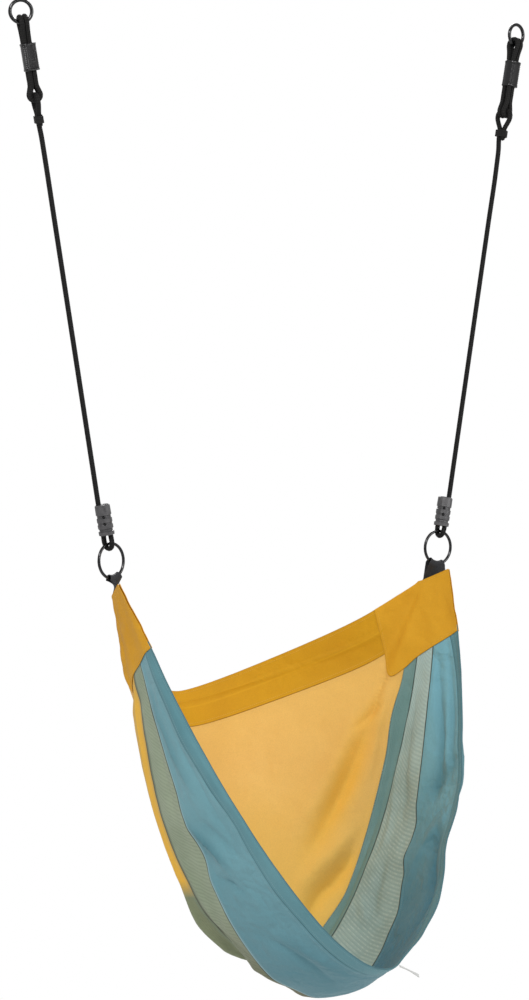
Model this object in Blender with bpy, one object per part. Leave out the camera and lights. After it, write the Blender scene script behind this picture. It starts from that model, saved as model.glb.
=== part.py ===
"""Nest swing: a fabric pouch seat hung by its two corners from two ropes, each with a hanging ring,
a doubled rope sling, a length adjuster, a rope clamp and a seat ring.

Frame: metres, +Z up, +X to the swing's right end, +Y to its back.  The origin is midway between the
two hanging rings, at the height of their centres.  Every pivot axis is parallel to X.
"""

import math

import bmesh
import bpy
from mathutils import Matrix, Vector

# ---------------------------------------------------------------- driving dimensions (metres)
HANG_HALF_SPAN = 0.609          # hanging rings' centres, from the middle
SEAT_RING_X = 0.404             # seat rings' centres
SEAT_RING_Z = -1.058
HANG_RING_RADIUS = 0.0215       # to the middle of the wire
HANG_RING_WIRE = 0.0035         # wire radius
SEAT_RING_RADIUS = 0.034
SEAT_RING_WIRE = 0.003

ROPE_RADIUS = 0.005
SLING_RADIUS = 0.00475          # rope of the doubled sling
SLING_TURN = 0.0118             # sling's middle line over the hanging ring's wire
SLING_SIDE = 0.00495            # half the distance between neighbouring strands
SLING_BUNDLE = 0.0064           # front and back strands, from the middle, inside the adjuster
SLING_FOOT = 0.0106             # radius of the open bight at the sling's lower end
SLING_LENGTH = 0.1394           # ring wire to the middle of that bight
BIGHT_TURN = 0.0096             # rope's middle line round the seat ring's wire

ADJUSTER_LENGTH = 0.054
ADJUSTER_LIP = 0.0024           # how far its thicker grip side shifts its outline
KNOT_TOP = 0.178
KNOT_LENGTH = 0.018
EYE_END = 0.218                 # where the rope runs straight on towards the clamp
CLAMP_LENGTH = 0.060
CLAMP_STRAND = 0.007            # strands in the clamp, from its middle
CLAMP_DEPTH_RATIO = 0.86        # clamp's depth over its width
CLAMP_YAW = math.radians(-36.0)
SCREW_HEIGHTS = (0.0235, 0.0370)

FABRIC = 0.0012                 # thickness of one layer of seat fabric
BAND_FABRIC = 0.0020            # folded double edges
CAP_NEAR = 0.0016               # corner cap layers, from the seat's middle surface
CAP_FAR = 0.0024
WEBBING = 0.0011
WEBBING_SHARE = {"left": 0.72, "right": 0.76}       # of the cap's top edge, covered by the webbing
WEBBING_HALF = {"left": 0.0145, "right": 0.0180}    # half its width where it lies on the seat ring
WEBBING_CLEAR = 0.0028          # between the ring's wire and the webbing folded round it
WEBBING_TAIL = 0.09             # share of the cap's height that the webbing's tails reach down
TUCK = 0.10                     # share of the cap's height that the panels reach up
SEAM_GAP = 0.0005               # between a panel's edge and its seam
TOUCH_GAP = 0.0003              # between two hard pieces
CHANNEL_GAP = 0.0006            # between a strand and the clamp's channel

SIDES = {"left": -1, "right": 1}
HANG_RING_YAW = {"left": math.radians(-18.0), "right": math.radians(10.0)}
SEAT_RING_YAW = {"left": math.radians(12.0), "right": math.radians(2.0)}
ADJUSTER_TOP = {"left": 0.040, "right": 0.034}
CLAMP_TOP = {"left": 0.944, "right": 0.951}

# Seams of the seat, right half, from the middle plane to the corner cap: control points of one smooth
# curve each, mirrored for the left half.  "belly" is a guide line across the back panel, not a seam.
SEAMS = {
    "back_rim": ((0.000, 0.360, -1.360), (0.060, 0.360, -1.360), (0.165, 0.255, -1.290),
                 (0.260, 0.145, -1.235), (0.306, 0.087, -1.188)),
    "band_low": ((0.000, 0.310, -1.430), (0.065, 0.310, -1.430), (0.180, 0.225, -1.365),
                 (0.280, 0.125, -1.325), (0.324, 0.074, -1.279)),
    "belly": ((0.000, 0.150, -1.685), (0.060, 0.150, -1.685), (0.170, 0.110, -1.590),
              (0.270, 0.065, -1.440), (0.318, 0.050, -1.322)),
    "yellow_tape": ((0.000, 0.004, -1.885), (0.105, 0.004, -1.885), (0.225, 0.050, -1.805),
                    (0.280, 0.035, -1.555), (0.336, 0.025, -1.307)),
    "tape_mesh": ((0.000, -0.034, -1.900), (0.080, -0.034, -1.900), (0.215, -0.005, -1.770),
                  (0.340, 0.040, -1.540), (0.350, 0.000, -1.283)),
    "mesh_blue": ((0.000, -0.160, -1.930), (0.165, -0.160, -1.930), (0.235, -0.115, -1.755),
                  (0.305, -0.075, -1.535), (0.362, -0.040, -1.258)),
    "blue_hem": ((0.000, -0.325, -1.865), (0.130, -0.325, -1.865), (0.280, -0.255, -1.600),
                 (0.375, -0.125, -1.350), (0.376, -0.078, -1.235)),
    "front_rim": ((0.000, -0.357, -1.850), (0.115, -0.357, -1.850), (0.270, -0.280, -1.600),
                  (0.345, -0.160, -1.360), (0.378, -0.100, -1.223)),
}
SEAM_ORDER = list(SEAMS)
STRIPS = {                      # first seam, last seam, divisions across, thickness
    "back_band": (0, 1, 2, BAND_FABRIC),
    "back_panel": (1, 3, 6, FABRIC),
    "side_tape": (3, 4, 1, FABRIC),
    "mesh_panel": (4, 5, 2, FABRIC),
    "front_panel": (5, 6, 3, FABRIC),
    "front_hem": (6, 7, 1, BAND_FABRIC),
}
# Where the cloth has settled off its seams' even curves: the place along the seat and across it in seams,
# how far the effect reaches each way, then the shift along SIDEWAYS and upwards.
SIDEWAYS = Vector((0.809, -0.588, 0.0))
SETTLING = (
    (-0.86, 4.0, 0.36, 1.0, 0.016, 0.000),
    (-0.86, 2.6, 0.34, 1.2, -0.013, 0.000),
    (-0.42, 3.5, 0.14, 1.2, -0.010, -0.003),
    (-0.18, 3.4, 0.13, 1.2, 0.004, 0.011),
    (-0.13, 4.9, 0.10, 0.9, 0.004, 0.004),
    (-0.70, 5.0, 0.06, 0.8, -0.004, 0.000),
    (-0.61, 5.0, 0.07, 0.9, 0.009, 0.000),
    (-0.74, 6.0, 0.11, 0.9, -0.005, 0.000),
    (-0.55, 6.0, 0.09, 0.9, 0.006, 0.000),
    (-0.38, 6.0, 0.10, 0.9, -0.004, 0.000),
    (0.60, 6.6, 0.09, 1.6, 0.007, 0.000),
    (0.455, 6.5, 0.09, 1.9, -0.011, 0.000),
    (0.30, 6.8, 0.08, 1.2, 0.005, 0.000),
    (0.13, 6.8, 0.09, 1.2, -0.009, 0.000),
    (0.90, 3.0, 0.09, 0.9, -0.006, 0.000),
    (0.33, 3.0, 0.15, 0.9, -0.010, 0.000),
    (0.64, 5.0, 0.05, 0.8, 0.006, 0.000),
    (0.56, 5.0, 0.05, 0.8, -0.008, 0.000),
    (0.42, 5.0, 0.08, 0.8, 0.005, 0.000),
)
CAP_FADE = 0.06                 # share of the half span near each cap where nothing has settled
CORNER_BACK = Vector((0.380, 0.032, -1.130))     # ends of the cap's short top edge
CORNER_FRONT = Vector((0.408, -0.032, -1.101))


# ---------------------------------------------------------------- helpers
def clear_scene():
    for item in list(bpy.data.objects):
        bpy.data.objects.remove(item, do_unlink=True)


def material(name, color, roughness, metallic=0.0):
    made = bpy.data.materials.new(name)
    made.use_nodes = True
    shader = made.node_tree.nodes["Principled BSDF"]
    shader.inputs["Base Color"].default_value = (*color, 1.0)
    shader.inputs["Roughness"].default_value = roughness
    shader.inputs["Metallic"].default_value = metallic
    return made


def place(item, name, mat, parent=None, location=(0, 0, 0), rotation=(0, 0, 0)):
    item.name = name
    item.data.name = name
    item.data.materials.clear()
    item.data.materials.append(mat)
    item.parent = parent
    item.location = location
    item.rotation_euler = rotation
    return item


def empty(name, location, rotation=(0, 0, 0), parent=None):
    item = bpy.data.objects.new(name, None)
    bpy.context.collection.objects.link(item)
    item.parent = parent
    item.location = location
    item.rotation_euler = rotation
    return item


def mesh_object(name, bm):
    bmesh.ops.recalc_face_normals(bm, faces=bm.faces)
    data = bpy.data.meshes.new(name)
    bm.to_mesh(data)
    bm.free()
    item = bpy.data.objects.new(name, data)
    bpy.context.collection.objects.link(item)
    return item


def smooth(item, degrees=40.0):
    item.data.shade_smooth()
    item.data.set_sharp_from_angle(angle=math.radians(degrees))
    return item


def mirrored(point, side):
    return Vector((side * point[0], point[1], point[2]))


def ease(value):
    value = min(max(value, 0.0), 1.0)
    return value * value * (3.0 - 2.0 * value)


def loft(name, sections):
    """A solid through closed sections with equal point counts, flat at both ends."""
    bm = bmesh.new()
    rings = [[bm.verts.new(point) for point in section] for section in sections]
    for low, high in zip(rings, rings[1:]):
        for k in range(len(low)):
            nxt = (k + 1) % len(low)
            bm.faces.new((low[k], low[nxt], high[nxt], high[k]))
    bm.faces.new(rings[0])
    bm.faces.new(rings[-1])
    return mesh_object(name, bm)


def sleeve(name, outer_sections, inner_sections):
    """A tube-like solid: outer wall, inner wall and the two end faces between them."""
    bm = bmesh.new()
    outer = [[bm.verts.new(point) for point in section] for section in outer_sections]
    inner = [[bm.verts.new(point) for point in section] for section in inner_sections]
    walls = list(zip(outer, outer[1:])) + [(b, a) for a, b in zip(inner, inner[1:])]
    walls += [(inner[0], outer[0]), (outer[-1], inner[-1])]
    for low, high in walls:
        for k in range(len(low)):
            nxt = (k + 1) % len(low)
            bm.faces.new((low[k], low[nxt], high[nxt], high[k]))
    return mesh_object(name, bm)


def oval(half_x, half_y, z, count, power=2.0):
    """A superellipse outline: power 2 is an ellipse, higher is squarer."""
    points = []
    for k in range(count):
        angle = 2.0 * math.pi * k / count
        cos, sin = math.cos(angle), math.sin(angle)
        x = math.copysign(abs(cos) ** (2.0 / power), cos) * half_x
        y = math.copysign(abs(sin) ** (2.0 / power), sin) * half_y
        points.append(Vector((x, y, z)))
    return points


def smooth_route(route, cyclic=False, bend=24.0, reach=0.032):
    """Points on one smooth curve through the route: closer together where it bends."""
    route = [Vector(point) for point in route]
    size = len(route)
    gaps = [(route[(i + 1) % size] - route[i]) for i in range(size if cyclic else size - 1)]
    slopes = []
    for i in range(size):
        before = gaps[i - 1] if i or cyclic else gaps[0]
        after = gaps[i % len(gaps)] if i < len(gaps) else gaps[-1]
        share = before.length / (before.length + after.length)
        slopes.append((before.normalized() * (1.0 - share) + after.normalized() * share))
    points = []
    for i, gap in enumerate(gaps):
        a, b = route[i], route[(i + 1) % size]
        out, into = slopes[i] * gap.length, slopes[(i + 1) % size] * gap.length
        turn = math.degrees(out.angle(gap) + gap.angle(into))
        steps = max(1, math.ceil(turn / bend), math.ceil(gap.length / reach))
        for k in range(steps):
            u = k / steps
            points.append(a * (2 * u ** 3 - 3 * u * u + 1) + b * (3 * u * u - 2 * u ** 3)
                          + out * (u ** 3 - 2 * u * u + u) + into * (u ** 3 - u * u))
    if not cyclic:
        points.append(route[-1])
    return points


def rope(name, points, radius, mat, parent, cyclic=False):
    curve = bpy.data.curves.new(name, "CURVE")
    curve.dimensions = "3D"
    curve.bevel_depth = radius
    curve.bevel_resolution = 2
    curve.use_fill_caps = not cyclic
    line = curve.splines.new("POLY")
    line.points.add(len(points) - 1)
    for slot, point in zip(line.points, points):
        slot.co = (*point, 1.0)
    line.use_cyclic_u = cyclic
    item = bpy.data.objects.new(name, curve)
    bpy.context.collection.objects.link(item)
    return place(item, name, mat, parent)


# ---------------------------------------------------------------- the two hanging chains
def chain_empty(label, side):
    """An empty on a rope's upper pivot, its local -Z along the rope towards the seat ring."""
    hanging = Vector((side * HANG_HALF_SPAN, 0.0, 0.0))
    seat_ring = Vector((side * SEAT_RING_X, 0.0, SEAT_RING_Z))
    along = (seat_ring - hanging).normalized()
    pivot = hanging + along * HANG_RING_RADIUS
    lean = math.atan2(abs(along.x), abs(along.z))
    item = empty(label + "_chain", pivot, (0.0, side * lean, 0.0))
    return item, pivot, (seat_ring - pivot).length


def hanging_ring_centre(label, pivot, length, side):
    """The ring turns on its hook until the rope pulls straight across it, within its own plane."""
    seat_ring = Vector((side * SEAT_RING_X, 0.0, SEAT_RING_Z))
    along = (seat_ring - pivot) / length
    flat = Matrix.Rotation(HANG_RING_YAW[label], 3, "Z") @ Vector((1.0, 0.0, 0.0))
    inward = flat * along.dot(flat) + Vector((0.0, 0.0, along.z))
    return pivot - inward.normalized() * HANG_RING_RADIUS


def torus(name, major, minor, mat, parent, location, yaw, segments):
    bpy.ops.mesh.primitive_torus_add(major_segments=segments, minor_segments=8,
                                     major_radius=major, minor_radius=minor)
    item = bpy.context.object
    item.data.transform(Matrix.Rotation(math.radians(90.0), 4, "X"))
    item.data.shade_smooth()
    return place(item, name, mat, parent, location, (0.0, 0.0, yaw))


def sling_route(yaw):
    """One endless rope, doubled over the hanging ring's wire: two strands in front and two behind."""
    quarter = [(SLING_SIDE, 0.0, SLING_TURN)]
    for degrees in (30, 60, 90):
        turn = math.radians(degrees)
        quarter.append((SLING_SIDE, SLING_TURN * math.sin(turn), SLING_TURN * math.cos(turn)))
    quarter += [
        (SLING_SIDE, 0.0088, -0.014),
        (SLING_SIDE, SLING_BUNDLE, -0.030),
        (SLING_SIDE, SLING_BUNDLE, -0.055),
        (SLING_SIDE, SLING_BUNDLE, -0.082),
        (SLING_SIDE, SLING_BUNDLE, -0.107),
        (0.0051, 0.0064, -0.1225),
        (0.0083, 0.0060, -0.1325),
        (SLING_FOOT * 0.97, 0.0055, -SLING_LENGTH),
        (SLING_FOOT * 0.72, 0.0055, -SLING_LENGTH - SLING_FOOT * 0.72),
        (0.0, 0.0055, -SLING_LENGTH - SLING_FOOT),
    ]
    front = [(x, -y, z) for x, y, z in quarter]
    back = [(x, y, z) for x, y, z in quarter]
    route = back + [(-x, y, z) for x, y, z in back[-2::-1]]
    route += [(-x, y, z) for x, y, z in front[1:]] + front[-2:0:-1]
    turn = Matrix.Rotation(yaw, 3, "Z")
    return [turn @ Vector(point) for point in route]


def rope_route(side, length):
    """From the tail under the knot, round the eye, down to the clamp, round the seat ring and back."""
    ring_top = length - SEAT_RING_RADIUS
    label = "left" if side < 0 else "right"
    clamp_top = CLAMP_TOP[label]
    clamp_low = clamp_top + CLAMP_LENGTH
    across = Matrix.Rotation(CLAMP_YAW, 3, "Z") @ Vector((1.0, 0.0, 0.0))
    sling_turn = Matrix.Rotation(HANG_RING_YAW[label], 3, "Z")
    normal = Matrix.Rotation(SEAT_RING_YAW[label], 3, "Z") @ Vector((0.0, 1.0, 0.0))
    down = Vector((0.0, 0.0, -1.0))
    eye = [
        (-0.0053, -KNOT_TOP - KNOT_LENGTH - 0.006),
        (-0.0053, -KNOT_TOP - KNOT_LENGTH * 0.5),
        (-0.0060, -KNOT_TOP + 0.001),
        (-0.0118, -KNOT_TOP + 0.012),
        (-0.0166, -0.1545),
        (-0.0158, -0.1455),
        (-0.0105, -SLING_LENGTH - 0.0008),
        (0.0, -SLING_LENGTH),
        (0.0105, -SLING_LENGTH - 0.0008),
        (0.0158, -0.1455),
        (0.0166, -0.1545),
        (0.0118, -KNOT_TOP + 0.012),
        (0.0060, -KNOT_TOP + 0.001),
        (0.0053, -KNOT_TOP - KNOT_LENGTH * 0.5),
        (0.0050, -KNOT_TOP - KNOT_LENGTH),
        (0.0015, -EYE_END),
    ]
    route = [sling_turn @ Vector((0.0, y, z)) for y, z in eye]
    outer = side * across * CLAMP_STRAND
    straight = clamp_top - EYE_END
    for share in (0.05, 0.22, 0.40, 0.58, 0.76, 0.92, 1.0):
        route.append(outer * share + down * (EYE_END + straight * share))
    route += [outer + down * (clamp_low + past) for past in (-0.030, -0.010, 0.0, 0.0015)]
    # round the wire, from the outer strand's side of it to the inner one's
    for degrees in (90, 45, 0, -45, -90):
        turn = math.radians(degrees)
        off = -side * BIGHT_TURN * math.sin(turn)
        route.append(normal * off + down * (ring_top + BIGHT_TURN * math.cos(turn)))
    route += [-outer + down * (clamp_low + past) for past in (0.0015, 0.0, -0.010, -0.045)]
    return route


def adjuster(label, mat, parent):
    """A ridged sleeve round the sling's four strands."""
    half_side = SLING_SIDE + SLING_RADIUS + 0.0005
    half_front = SLING_BUNDLE + SLING_RADIUS + 0.0005
    ridges = 7
    pitch = ADJUSTER_LENGTH / ridges
    outer = []
    inner = []
    for k in range(ridges):
        for share, wall in ((0.02, 0.0012), (0.35, 0.0022), (0.75, 0.0022)):
            outline = oval(half_side + wall + ADJUSTER_LIP, half_front + wall, -pitch * (k + share), 12, 3.4)
            outer.append([point + Vector((ADJUSTER_LIP, 0.0, 0.0)) for point in outline])
    for z in (outer[0][0].z, outer[-1][0].z):
        inner.append(oval(half_side, half_front, z, 12, 5.0))
    item = sleeve(label + "_rope_adjuster", outer, inner)
    place(item, label + "_rope_adjuster", mat, parent, (0.0, 0.0, -ADJUSTER_TOP[label]),
          (0.0, 0.0, HANG_RING_YAW[label]))
    return smooth(item, 30.0)


def whipping(label, mat, parent):
    """The seized knot that closes the rope's eye."""
    outer = []
    for share, bulge in ((0.0, 0.0014), (0.12, 0.0030), (0.5, 0.0036), (0.88, 0.0030), (1.0, 0.0014)):
        z = -KNOT_LENGTH * share
        outer.append(oval(0.0056 + bulge, 0.0113 + bulge, z, 16, 2.4))
    inner = [oval(0.0056, 0.0113, z, 16, 3.0) for z in (0.0, -KNOT_LENGTH)]
    item = sleeve(label + "_eye_whipping", outer, inner)
    place(item, label + "_eye_whipping", mat, parent, (0.0, 0.0, -KNOT_TOP),
          (0.0, 0.0, HANG_RING_YAW[label]))
    return smooth(item, 35.0)


CLAMP_PROFILE = (
    (0.0000, 0.0128), (0.0018, 0.0150), (0.0200, 0.0153), (0.0212, 0.0136), (0.0258, 0.0136),
    (0.0270, 0.0151), (0.0345, 0.0151), (0.0360, 0.0140), (0.0385, 0.0140), (0.0400, 0.0152),
    (0.0470, 0.0150), (0.0482, 0.0131), (0.0520, 0.0131), (0.0530, 0.0157), (0.0600, 0.0152),
)


def clamp_section(radius, z, front):
    """Half of the clamp's cross-section: its outer arc, then the two strand channels."""
    depth = -1.0 if front else 1.0
    channel = ROPE_RADIUS + CHANNEL_GAP
    seam = TOUCH_GAP / 2
    points = []
    for k in range(9):
        angle = math.pi * k / 8
        y = max(radius * CLAMP_DEPTH_RATIO * math.sin(angle), seam)
        points.append(Vector((radius * math.cos(angle), depth * y, z)))
    for centre in (-CLAMP_STRAND, CLAMP_STRAND):
        for k in range(6):
            angle = math.pi * (1.0 - k / 5)
            y = max(channel * math.sin(angle), seam)
            points.append(Vector((centre + channel * math.cos(angle), depth * y, z)))
    return points


def circle(radius, y, count):
    """A circle about local Y."""
    turns = [2.0 * math.pi * k / count for k in range(count)]
    return [Vector((radius * math.cos(turn), y, radius * math.sin(turn))) for turn in turns]


def cylinder(name, radius, start, end):
    """A closed cylinder along local Y."""
    return loft(name, [circle(radius, start, 16), circle(radius, end, 16)])


def cut(item, cutter):
    cutter.hide_render = True
    cutter.display_type = "WIRE"
    step = item.modifiers.new("cut_" + cutter.name, "BOOLEAN")
    step.operation = "DIFFERENCE"
    step.solver = "EXACT"
    step.object = cutter


def clamp(label, side, shell, steel, parent):
    """Two ribbed half shells held by two countersunk screws."""
    base = empty(label + "_clamp_base", (0.0, 0.0, -CLAMP_TOP[label]), (0.0, 0.0, CLAMP_YAW), parent)
    halves = {}
    for part, front in (("front", True), ("back", False)):
        sections = [clamp_section(radius, -z, front) for z, radius in CLAMP_PROFILE]
        item = loft(label + "_clamp_" + part, sections)
        halves[part] = place(item, label + "_clamp_" + part, shell, base)
    for number, height in enumerate(SCREW_HEIGHTS, 1):
        shank = cylinder("%s_screw_hole_%d" % (label, number), 0.00185, -0.020, 0.0072)
        recess = cylinder("%s_screw_recess_%d" % (label, number), 0.0031, -0.020, -0.0092)
        for cutter in (shank, recess):
            cutter.parent = base
            cutter.location = (0.0, 0.0, -height)
        for part in halves:
            cut(halves[part], shank)
        cut(halves["front"], recess)
        screw(label, number, steel, base, height)
    for part in halves:
        smooth(halves[part], 30.0)


def screw(label, number, mat, parent, height):
    """Pan-head screw along local Y, its head at the front."""
    name = "%s_clamp_screw_%d" % (label, number)
    profile = ((-0.0112, 0.0018), (-0.0106, 0.0026), (-0.0095, 0.0027), (-0.0095, 0.0015), (0.0060, 0.0015),
               (0.0068, 0.0008))
    sections = [circle(radius, y, 12) for y, radius in profile]
    item = loft(name, sections)
    place(item, name, mat, parent, (0.0, 0.0, -height))
    return smooth(item, 35.0)


# ---------------------------------------------------------------- the seat
def bezier(points, t):
    """One smooth curve from its control points, by repeated division."""
    points = [Vector(point) for point in points]
    while len(points) > 1:
        points = [a.lerp(b, t) for a, b in zip(points, points[1:])]
    return points[0]


def seam_point(name, t):
    """t runs from -1 at the left cap, through 0 in the middle, to 1 at the right cap."""
    point = bezier(SEAMS[name], abs(t))
    return mirrored(point, -1 if t < 0 else 1)


def settled(t, v):
    """How far the cloth lies off its seams' even curves at one place."""
    shift = Vector((0.0, 0.0, 0.0))
    for place, line, reach, spread, across, rise in SETTLING:
        share = ease(1.0 - abs(t - place) / reach) * ease(1.0 - abs(v - line) / spread)
        shift += (SIDEWAYS * across + Vector((0.0, 0.0, rise))) * share
    return shift * ease((1.0 - abs(t)) / CAP_FADE)


def seat_point(t, v):
    """A point of the seat's middle surface: v counts seams from the back rim to the front rim."""
    last = len(SEAM_ORDER) - 1
    i = min(int(v), last - 1)
    u = v - i
    b = seam_point(SEAM_ORDER[i], t)
    c = seam_point(SEAM_ORDER[i + 1], t)
    a = seam_point(SEAM_ORDER[i - 1], t) if i else 2 * b - c
    d = seam_point(SEAM_ORDER[i + 2], t) if i + 2 <= last else 2 * c - b
    even = 0.5 * (2 * b + (c - a) * u + (2 * a - 5 * b + 4 * c - d) * u * u
                  + (3 * b - a - 3 * c + d) * u ** 3)
    return even + settled(t, v)


def inset(row, gap):
    """Pulls a row's two ends in along the row, which leaves a gap at the seams."""
    row = list(row)
    row[0] = row[0] + (row[1] - row[0]).normalized() * gap
    row[-1] = row[-1] + (row[-2] - row[-1]).normalized() * gap
    return row


def thick_sheet(name, rows, near, far):
    """A closed sheet: the grid of rows pushed along its normals to the two offsets near and far."""
    count, across = len(rows), len(rows[0])
    bm = bmesh.new()
    layers = []
    for offset in (near, far):
        layer = []
        for i in range(count):
            line = []
            for j in range(across):
                along = rows[min(i + 1, count - 1)][j] - rows[max(i - 1, 0)][j]
                side = rows[i][min(j + 1, across - 1)] - rows[i][max(j - 1, 0)]
                line.append(bm.verts.new(rows[i][j] + along.cross(side).normalized() * offset))
            layer.append(line)
        layers.append(layer)
    low, high = layers
    for i in range(count - 1):
        for j in range(across - 1):
            for grid in layers:
                bm.faces.new((grid[i][j], grid[i + 1][j], grid[i + 1][j + 1], grid[i][j + 1]))
    edge = [(i, 0) for i in range(count)] + [(count - 1, j) for j in range(1, across)]
    edge += [(i, across - 1) for i in range(count - 2, -1, -1)] + [(0, j) for j in range(across - 2, 0, -1)]
    for (i, j), (k, m) in zip(edge, edge[1:] + edge[:1]):
        bm.faces.new((low[i][j], low[k][m], high[k][m], high[i][j]))
    return smooth(mesh_object(name, bm), 60.0)


def cap_point(side, u, v):
    """The corner cap: u runs from its short top edge to its lower edge, v from the back to the front."""
    top = CORNER_BACK.lerp(CORNER_FRONT, v)
    low = seat_point(1.0, v * (len(SEAM_ORDER) - 1))
    return mirrored(top.lerp(low, u), side)


def columns(name):
    """Where a strip's lengthwise lines lie, counted in seams."""
    first, last, across, _ = STRIPS[name]
    return [first + (last - first) * j / across for j in range(across + 1)]


def strip(name, mat, along=26):
    """A panel of the seat between two seams, its ends tucked in under the two corner caps."""
    lines = columns(name)
    tucks = [[cap_point(side, 1.0 - TUCK, v / (len(SEAM_ORDER) - 1)) for v in lines] for side in (-1, 1)]
    rows = [[seat_point(-1.0 + 2.0 * i / along, v) for v in lines] for i in range(along + 1)]
    rows = [inset(row, SEAM_GAP) for row in [tucks[0]] + rows + [tucks[1]]]
    thickness = STRIPS[name][-1]
    return place(thick_sheet(name, rows, -thickness / 2, thickness / 2), name, mat)


def cap_normal(side, u, v):
    step = 0.01
    down = cap_point(side, u + step, v) - cap_point(side, u - step, v)
    along = cap_point(side, u, v + step) - cap_point(side, u, v - step)
    return along.cross(down).normalized()


def corner_caps(label, side, mat):
    """Two layers of fabric, outside and inside, that close over the seat's corner and the webbing."""
    across = sorted({v / (len(SEAM_ORDER) - 1) for name in STRIPS for v in columns(name)})
    rows = [[cap_point(side, i / 4, v) for v in across] for i in range(5)]
    for part, sign in (("outer", 1.0), ("inner", -1.0)):
        name = "%s_corner_cap_%s" % (label, part)
        offsets = sorted((sign * side * CAP_NEAR, sign * side * CAP_FAR))
        place(thick_sheet(name, rows, offsets[0], offsets[1]), name, mat)


def webbing_loop(label, side, chain, length, mat):
    """A strap folded over the seat ring's lower wire, its two tails sewn between the cap's layers."""
    yaw = Matrix.Rotation(SEAT_RING_YAW[label], 4, "Z")
    ring = chain.matrix_world @ Matrix.Translation((0.0, 0.0, -length)) @ yaw
    turn_radius = SEAT_RING_WIRE + WEBBING_CLEAR + WEBBING / 2
    across = 6
    half_gap = WEBBING / 2 + 0.0001

    def ring_row(degrees, below=0.0):
        row = []
        for j in range(across + 1):
            share = 2.0 * j / across - 1.0
            beta = math.asin(share * WEBBING_HALF[label] / SEAT_RING_RADIUS)
            radial = Vector((side * math.sin(beta), 0.0, -math.cos(beta)))
            turn = math.radians(degrees)
            local = radial * (SEAT_RING_RADIUS + below - turn_radius * math.cos(turn))
            local += Vector((0.0, turn_radius * math.sin(turn), 0.0))
            row.append(ring @ local)
        return row

    def edge_row(u, face):
        row = []
        for j in range(across + 1):
            v = 0.5 + WEBBING_SHARE[label] * (j / across - 0.5)
            row.append(cap_point(side, u, v) + cap_normal(side, u, v) * (face * half_gap))
        return row

    front_face = 1.0 if cap_normal(side, 0.0, 0.5).y < 0 else -1.0
    front_low = edge_row(WEBBING_TAIL, front_face)
    front_edge = edge_row(-0.01, front_face)
    back_low = edge_row(WEBBING_TAIL, -front_face)
    back_edge = edge_row(-0.01, -front_face)
    front_ring = ring_row(-90, 0.005)
    back_ring = ring_row(90, 0.005)
    rows = [front_low, front_edge]
    legs = 4
    for k in range(1, legs + 1):
        share = ease(k / legs)
        rows.append([a.lerp(b, share) for a, b in zip(front_edge, front_ring)])
    for degrees in (-90, -60, -30, 0, 30, 60, 90):
        rows.append(ring_row(degrees))
    for k in range(legs):
        share = ease(k / legs)
        rows.append([a.lerp(b, share) for a, b in zip(back_ring, back_edge)])
    rows += [back_edge, back_low]
    name = label + "_webbing_loop"
    return place(thick_sheet(name, rows, -WEBBING / 2, WEBBING / 2), name, mat)


def care_label(mat):
    """A small blank tag sewn into the front hem."""
    root = seat_point(0.06, len(SEAM_ORDER) - 1)
    outward = Vector((0.752, -0.547, -0.380)).normalized()
    along = Vector((0.588, 0.809, 0.0))
    along = (along - outward * along.dot(outward)).normalized()
    rows = []
    for i in range(5):
        reach = 0.0045 + 0.041 * i / 4
        sag = Vector((0.0, 0.0, -0.004)) * (i / 4) ** 2
        rows.append([root + outward * reach + along * (0.011 * (j - 1)) + sag for j in range(3)])
    return place(thick_sheet("care_label", rows, -0.0004, 0.0004), "care_label", mat)


# ---------------------------------------------------------------- build
def build():
    clear_scene()
    steel = material("ring_steel", (0.030, 0.030, 0.032), 0.28, 0.85)
    rope_black = material("rope_black", (0.022, 0.021, 0.020), 0.85)
    webbing_black = material("webbing_black", (0.018, 0.017, 0.018), 0.80)
    plastic_grey = material("plastic_grey", (0.105, 0.095, 0.100), 0.55)
    plastic_black = material("plastic_black", (0.025, 0.025, 0.026), 0.45)
    screw_steel = material("screw_steel", (0.060, 0.060, 0.062), 0.40, 0.9)
    light_yellow = material("light_yellow_fabric", (0.830, 0.480, 0.110), 0.75)
    dark_yellow = material("dark_yellow_fabric", (0.630, 0.330, 0.022), 0.78)
    blue = material("blue_fabric", (0.105, 0.260, 0.320), 0.75)
    tape_blue = material("tape_fabric", (0.110, 0.240, 0.235), 0.78)
    mesh_green = material("mesh_fabric", (0.300, 0.380, 0.310), 0.80)
    tag_white = material("tag_white", (0.700, 0.700, 0.690), 0.60)

    for label, side in SIDES.items():
        chain, pivot, length = chain_empty(label, side)
        bpy.context.view_layer.update()
        torus(label + "_hanging_ring", HANG_RING_RADIUS, HANG_RING_WIRE, steel, None,
              hanging_ring_centre(label, pivot, length, side), HANG_RING_YAW[label], 28)
        torus(label + "_seat_ring", SEAT_RING_RADIUS, SEAT_RING_WIRE, steel, chain,
              (0.0, 0.0, -length), SEAT_RING_YAW[label], 32)
        rope(label + "_sling_rope", smooth_route(sling_route(HANG_RING_YAW[label]), cyclic=True),
             SLING_RADIUS, rope_black, chain, cyclic=True)
        rope(label + "_rope", smooth_route(rope_route(side, length)), ROPE_RADIUS, rope_black, chain)
        adjuster(label, plastic_black, chain)
        whipping(label, rope_black, chain)
        clamp(label, side, plastic_grey, screw_steel, chain)
        corner_caps(label, side, dark_yellow)
        webbing_loop(label, side, chain, length, webbing_black)

    strip("back_band", dark_yellow)
    strip("back_panel", light_yellow)
    strip("side_tape", tape_blue)
    strip("mesh_panel", mesh_green)
    strip("front_panel", blue)
    strip("front_hem", blue)
    care_label(tag_white)


build()
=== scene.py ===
"""The looks of the nest swing: woven panels with folds and stitching, braided ropes, rings and fittings."""

import math

import bpy
import numpy as np
from mathutils import Matrix, Vector, noise


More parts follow.
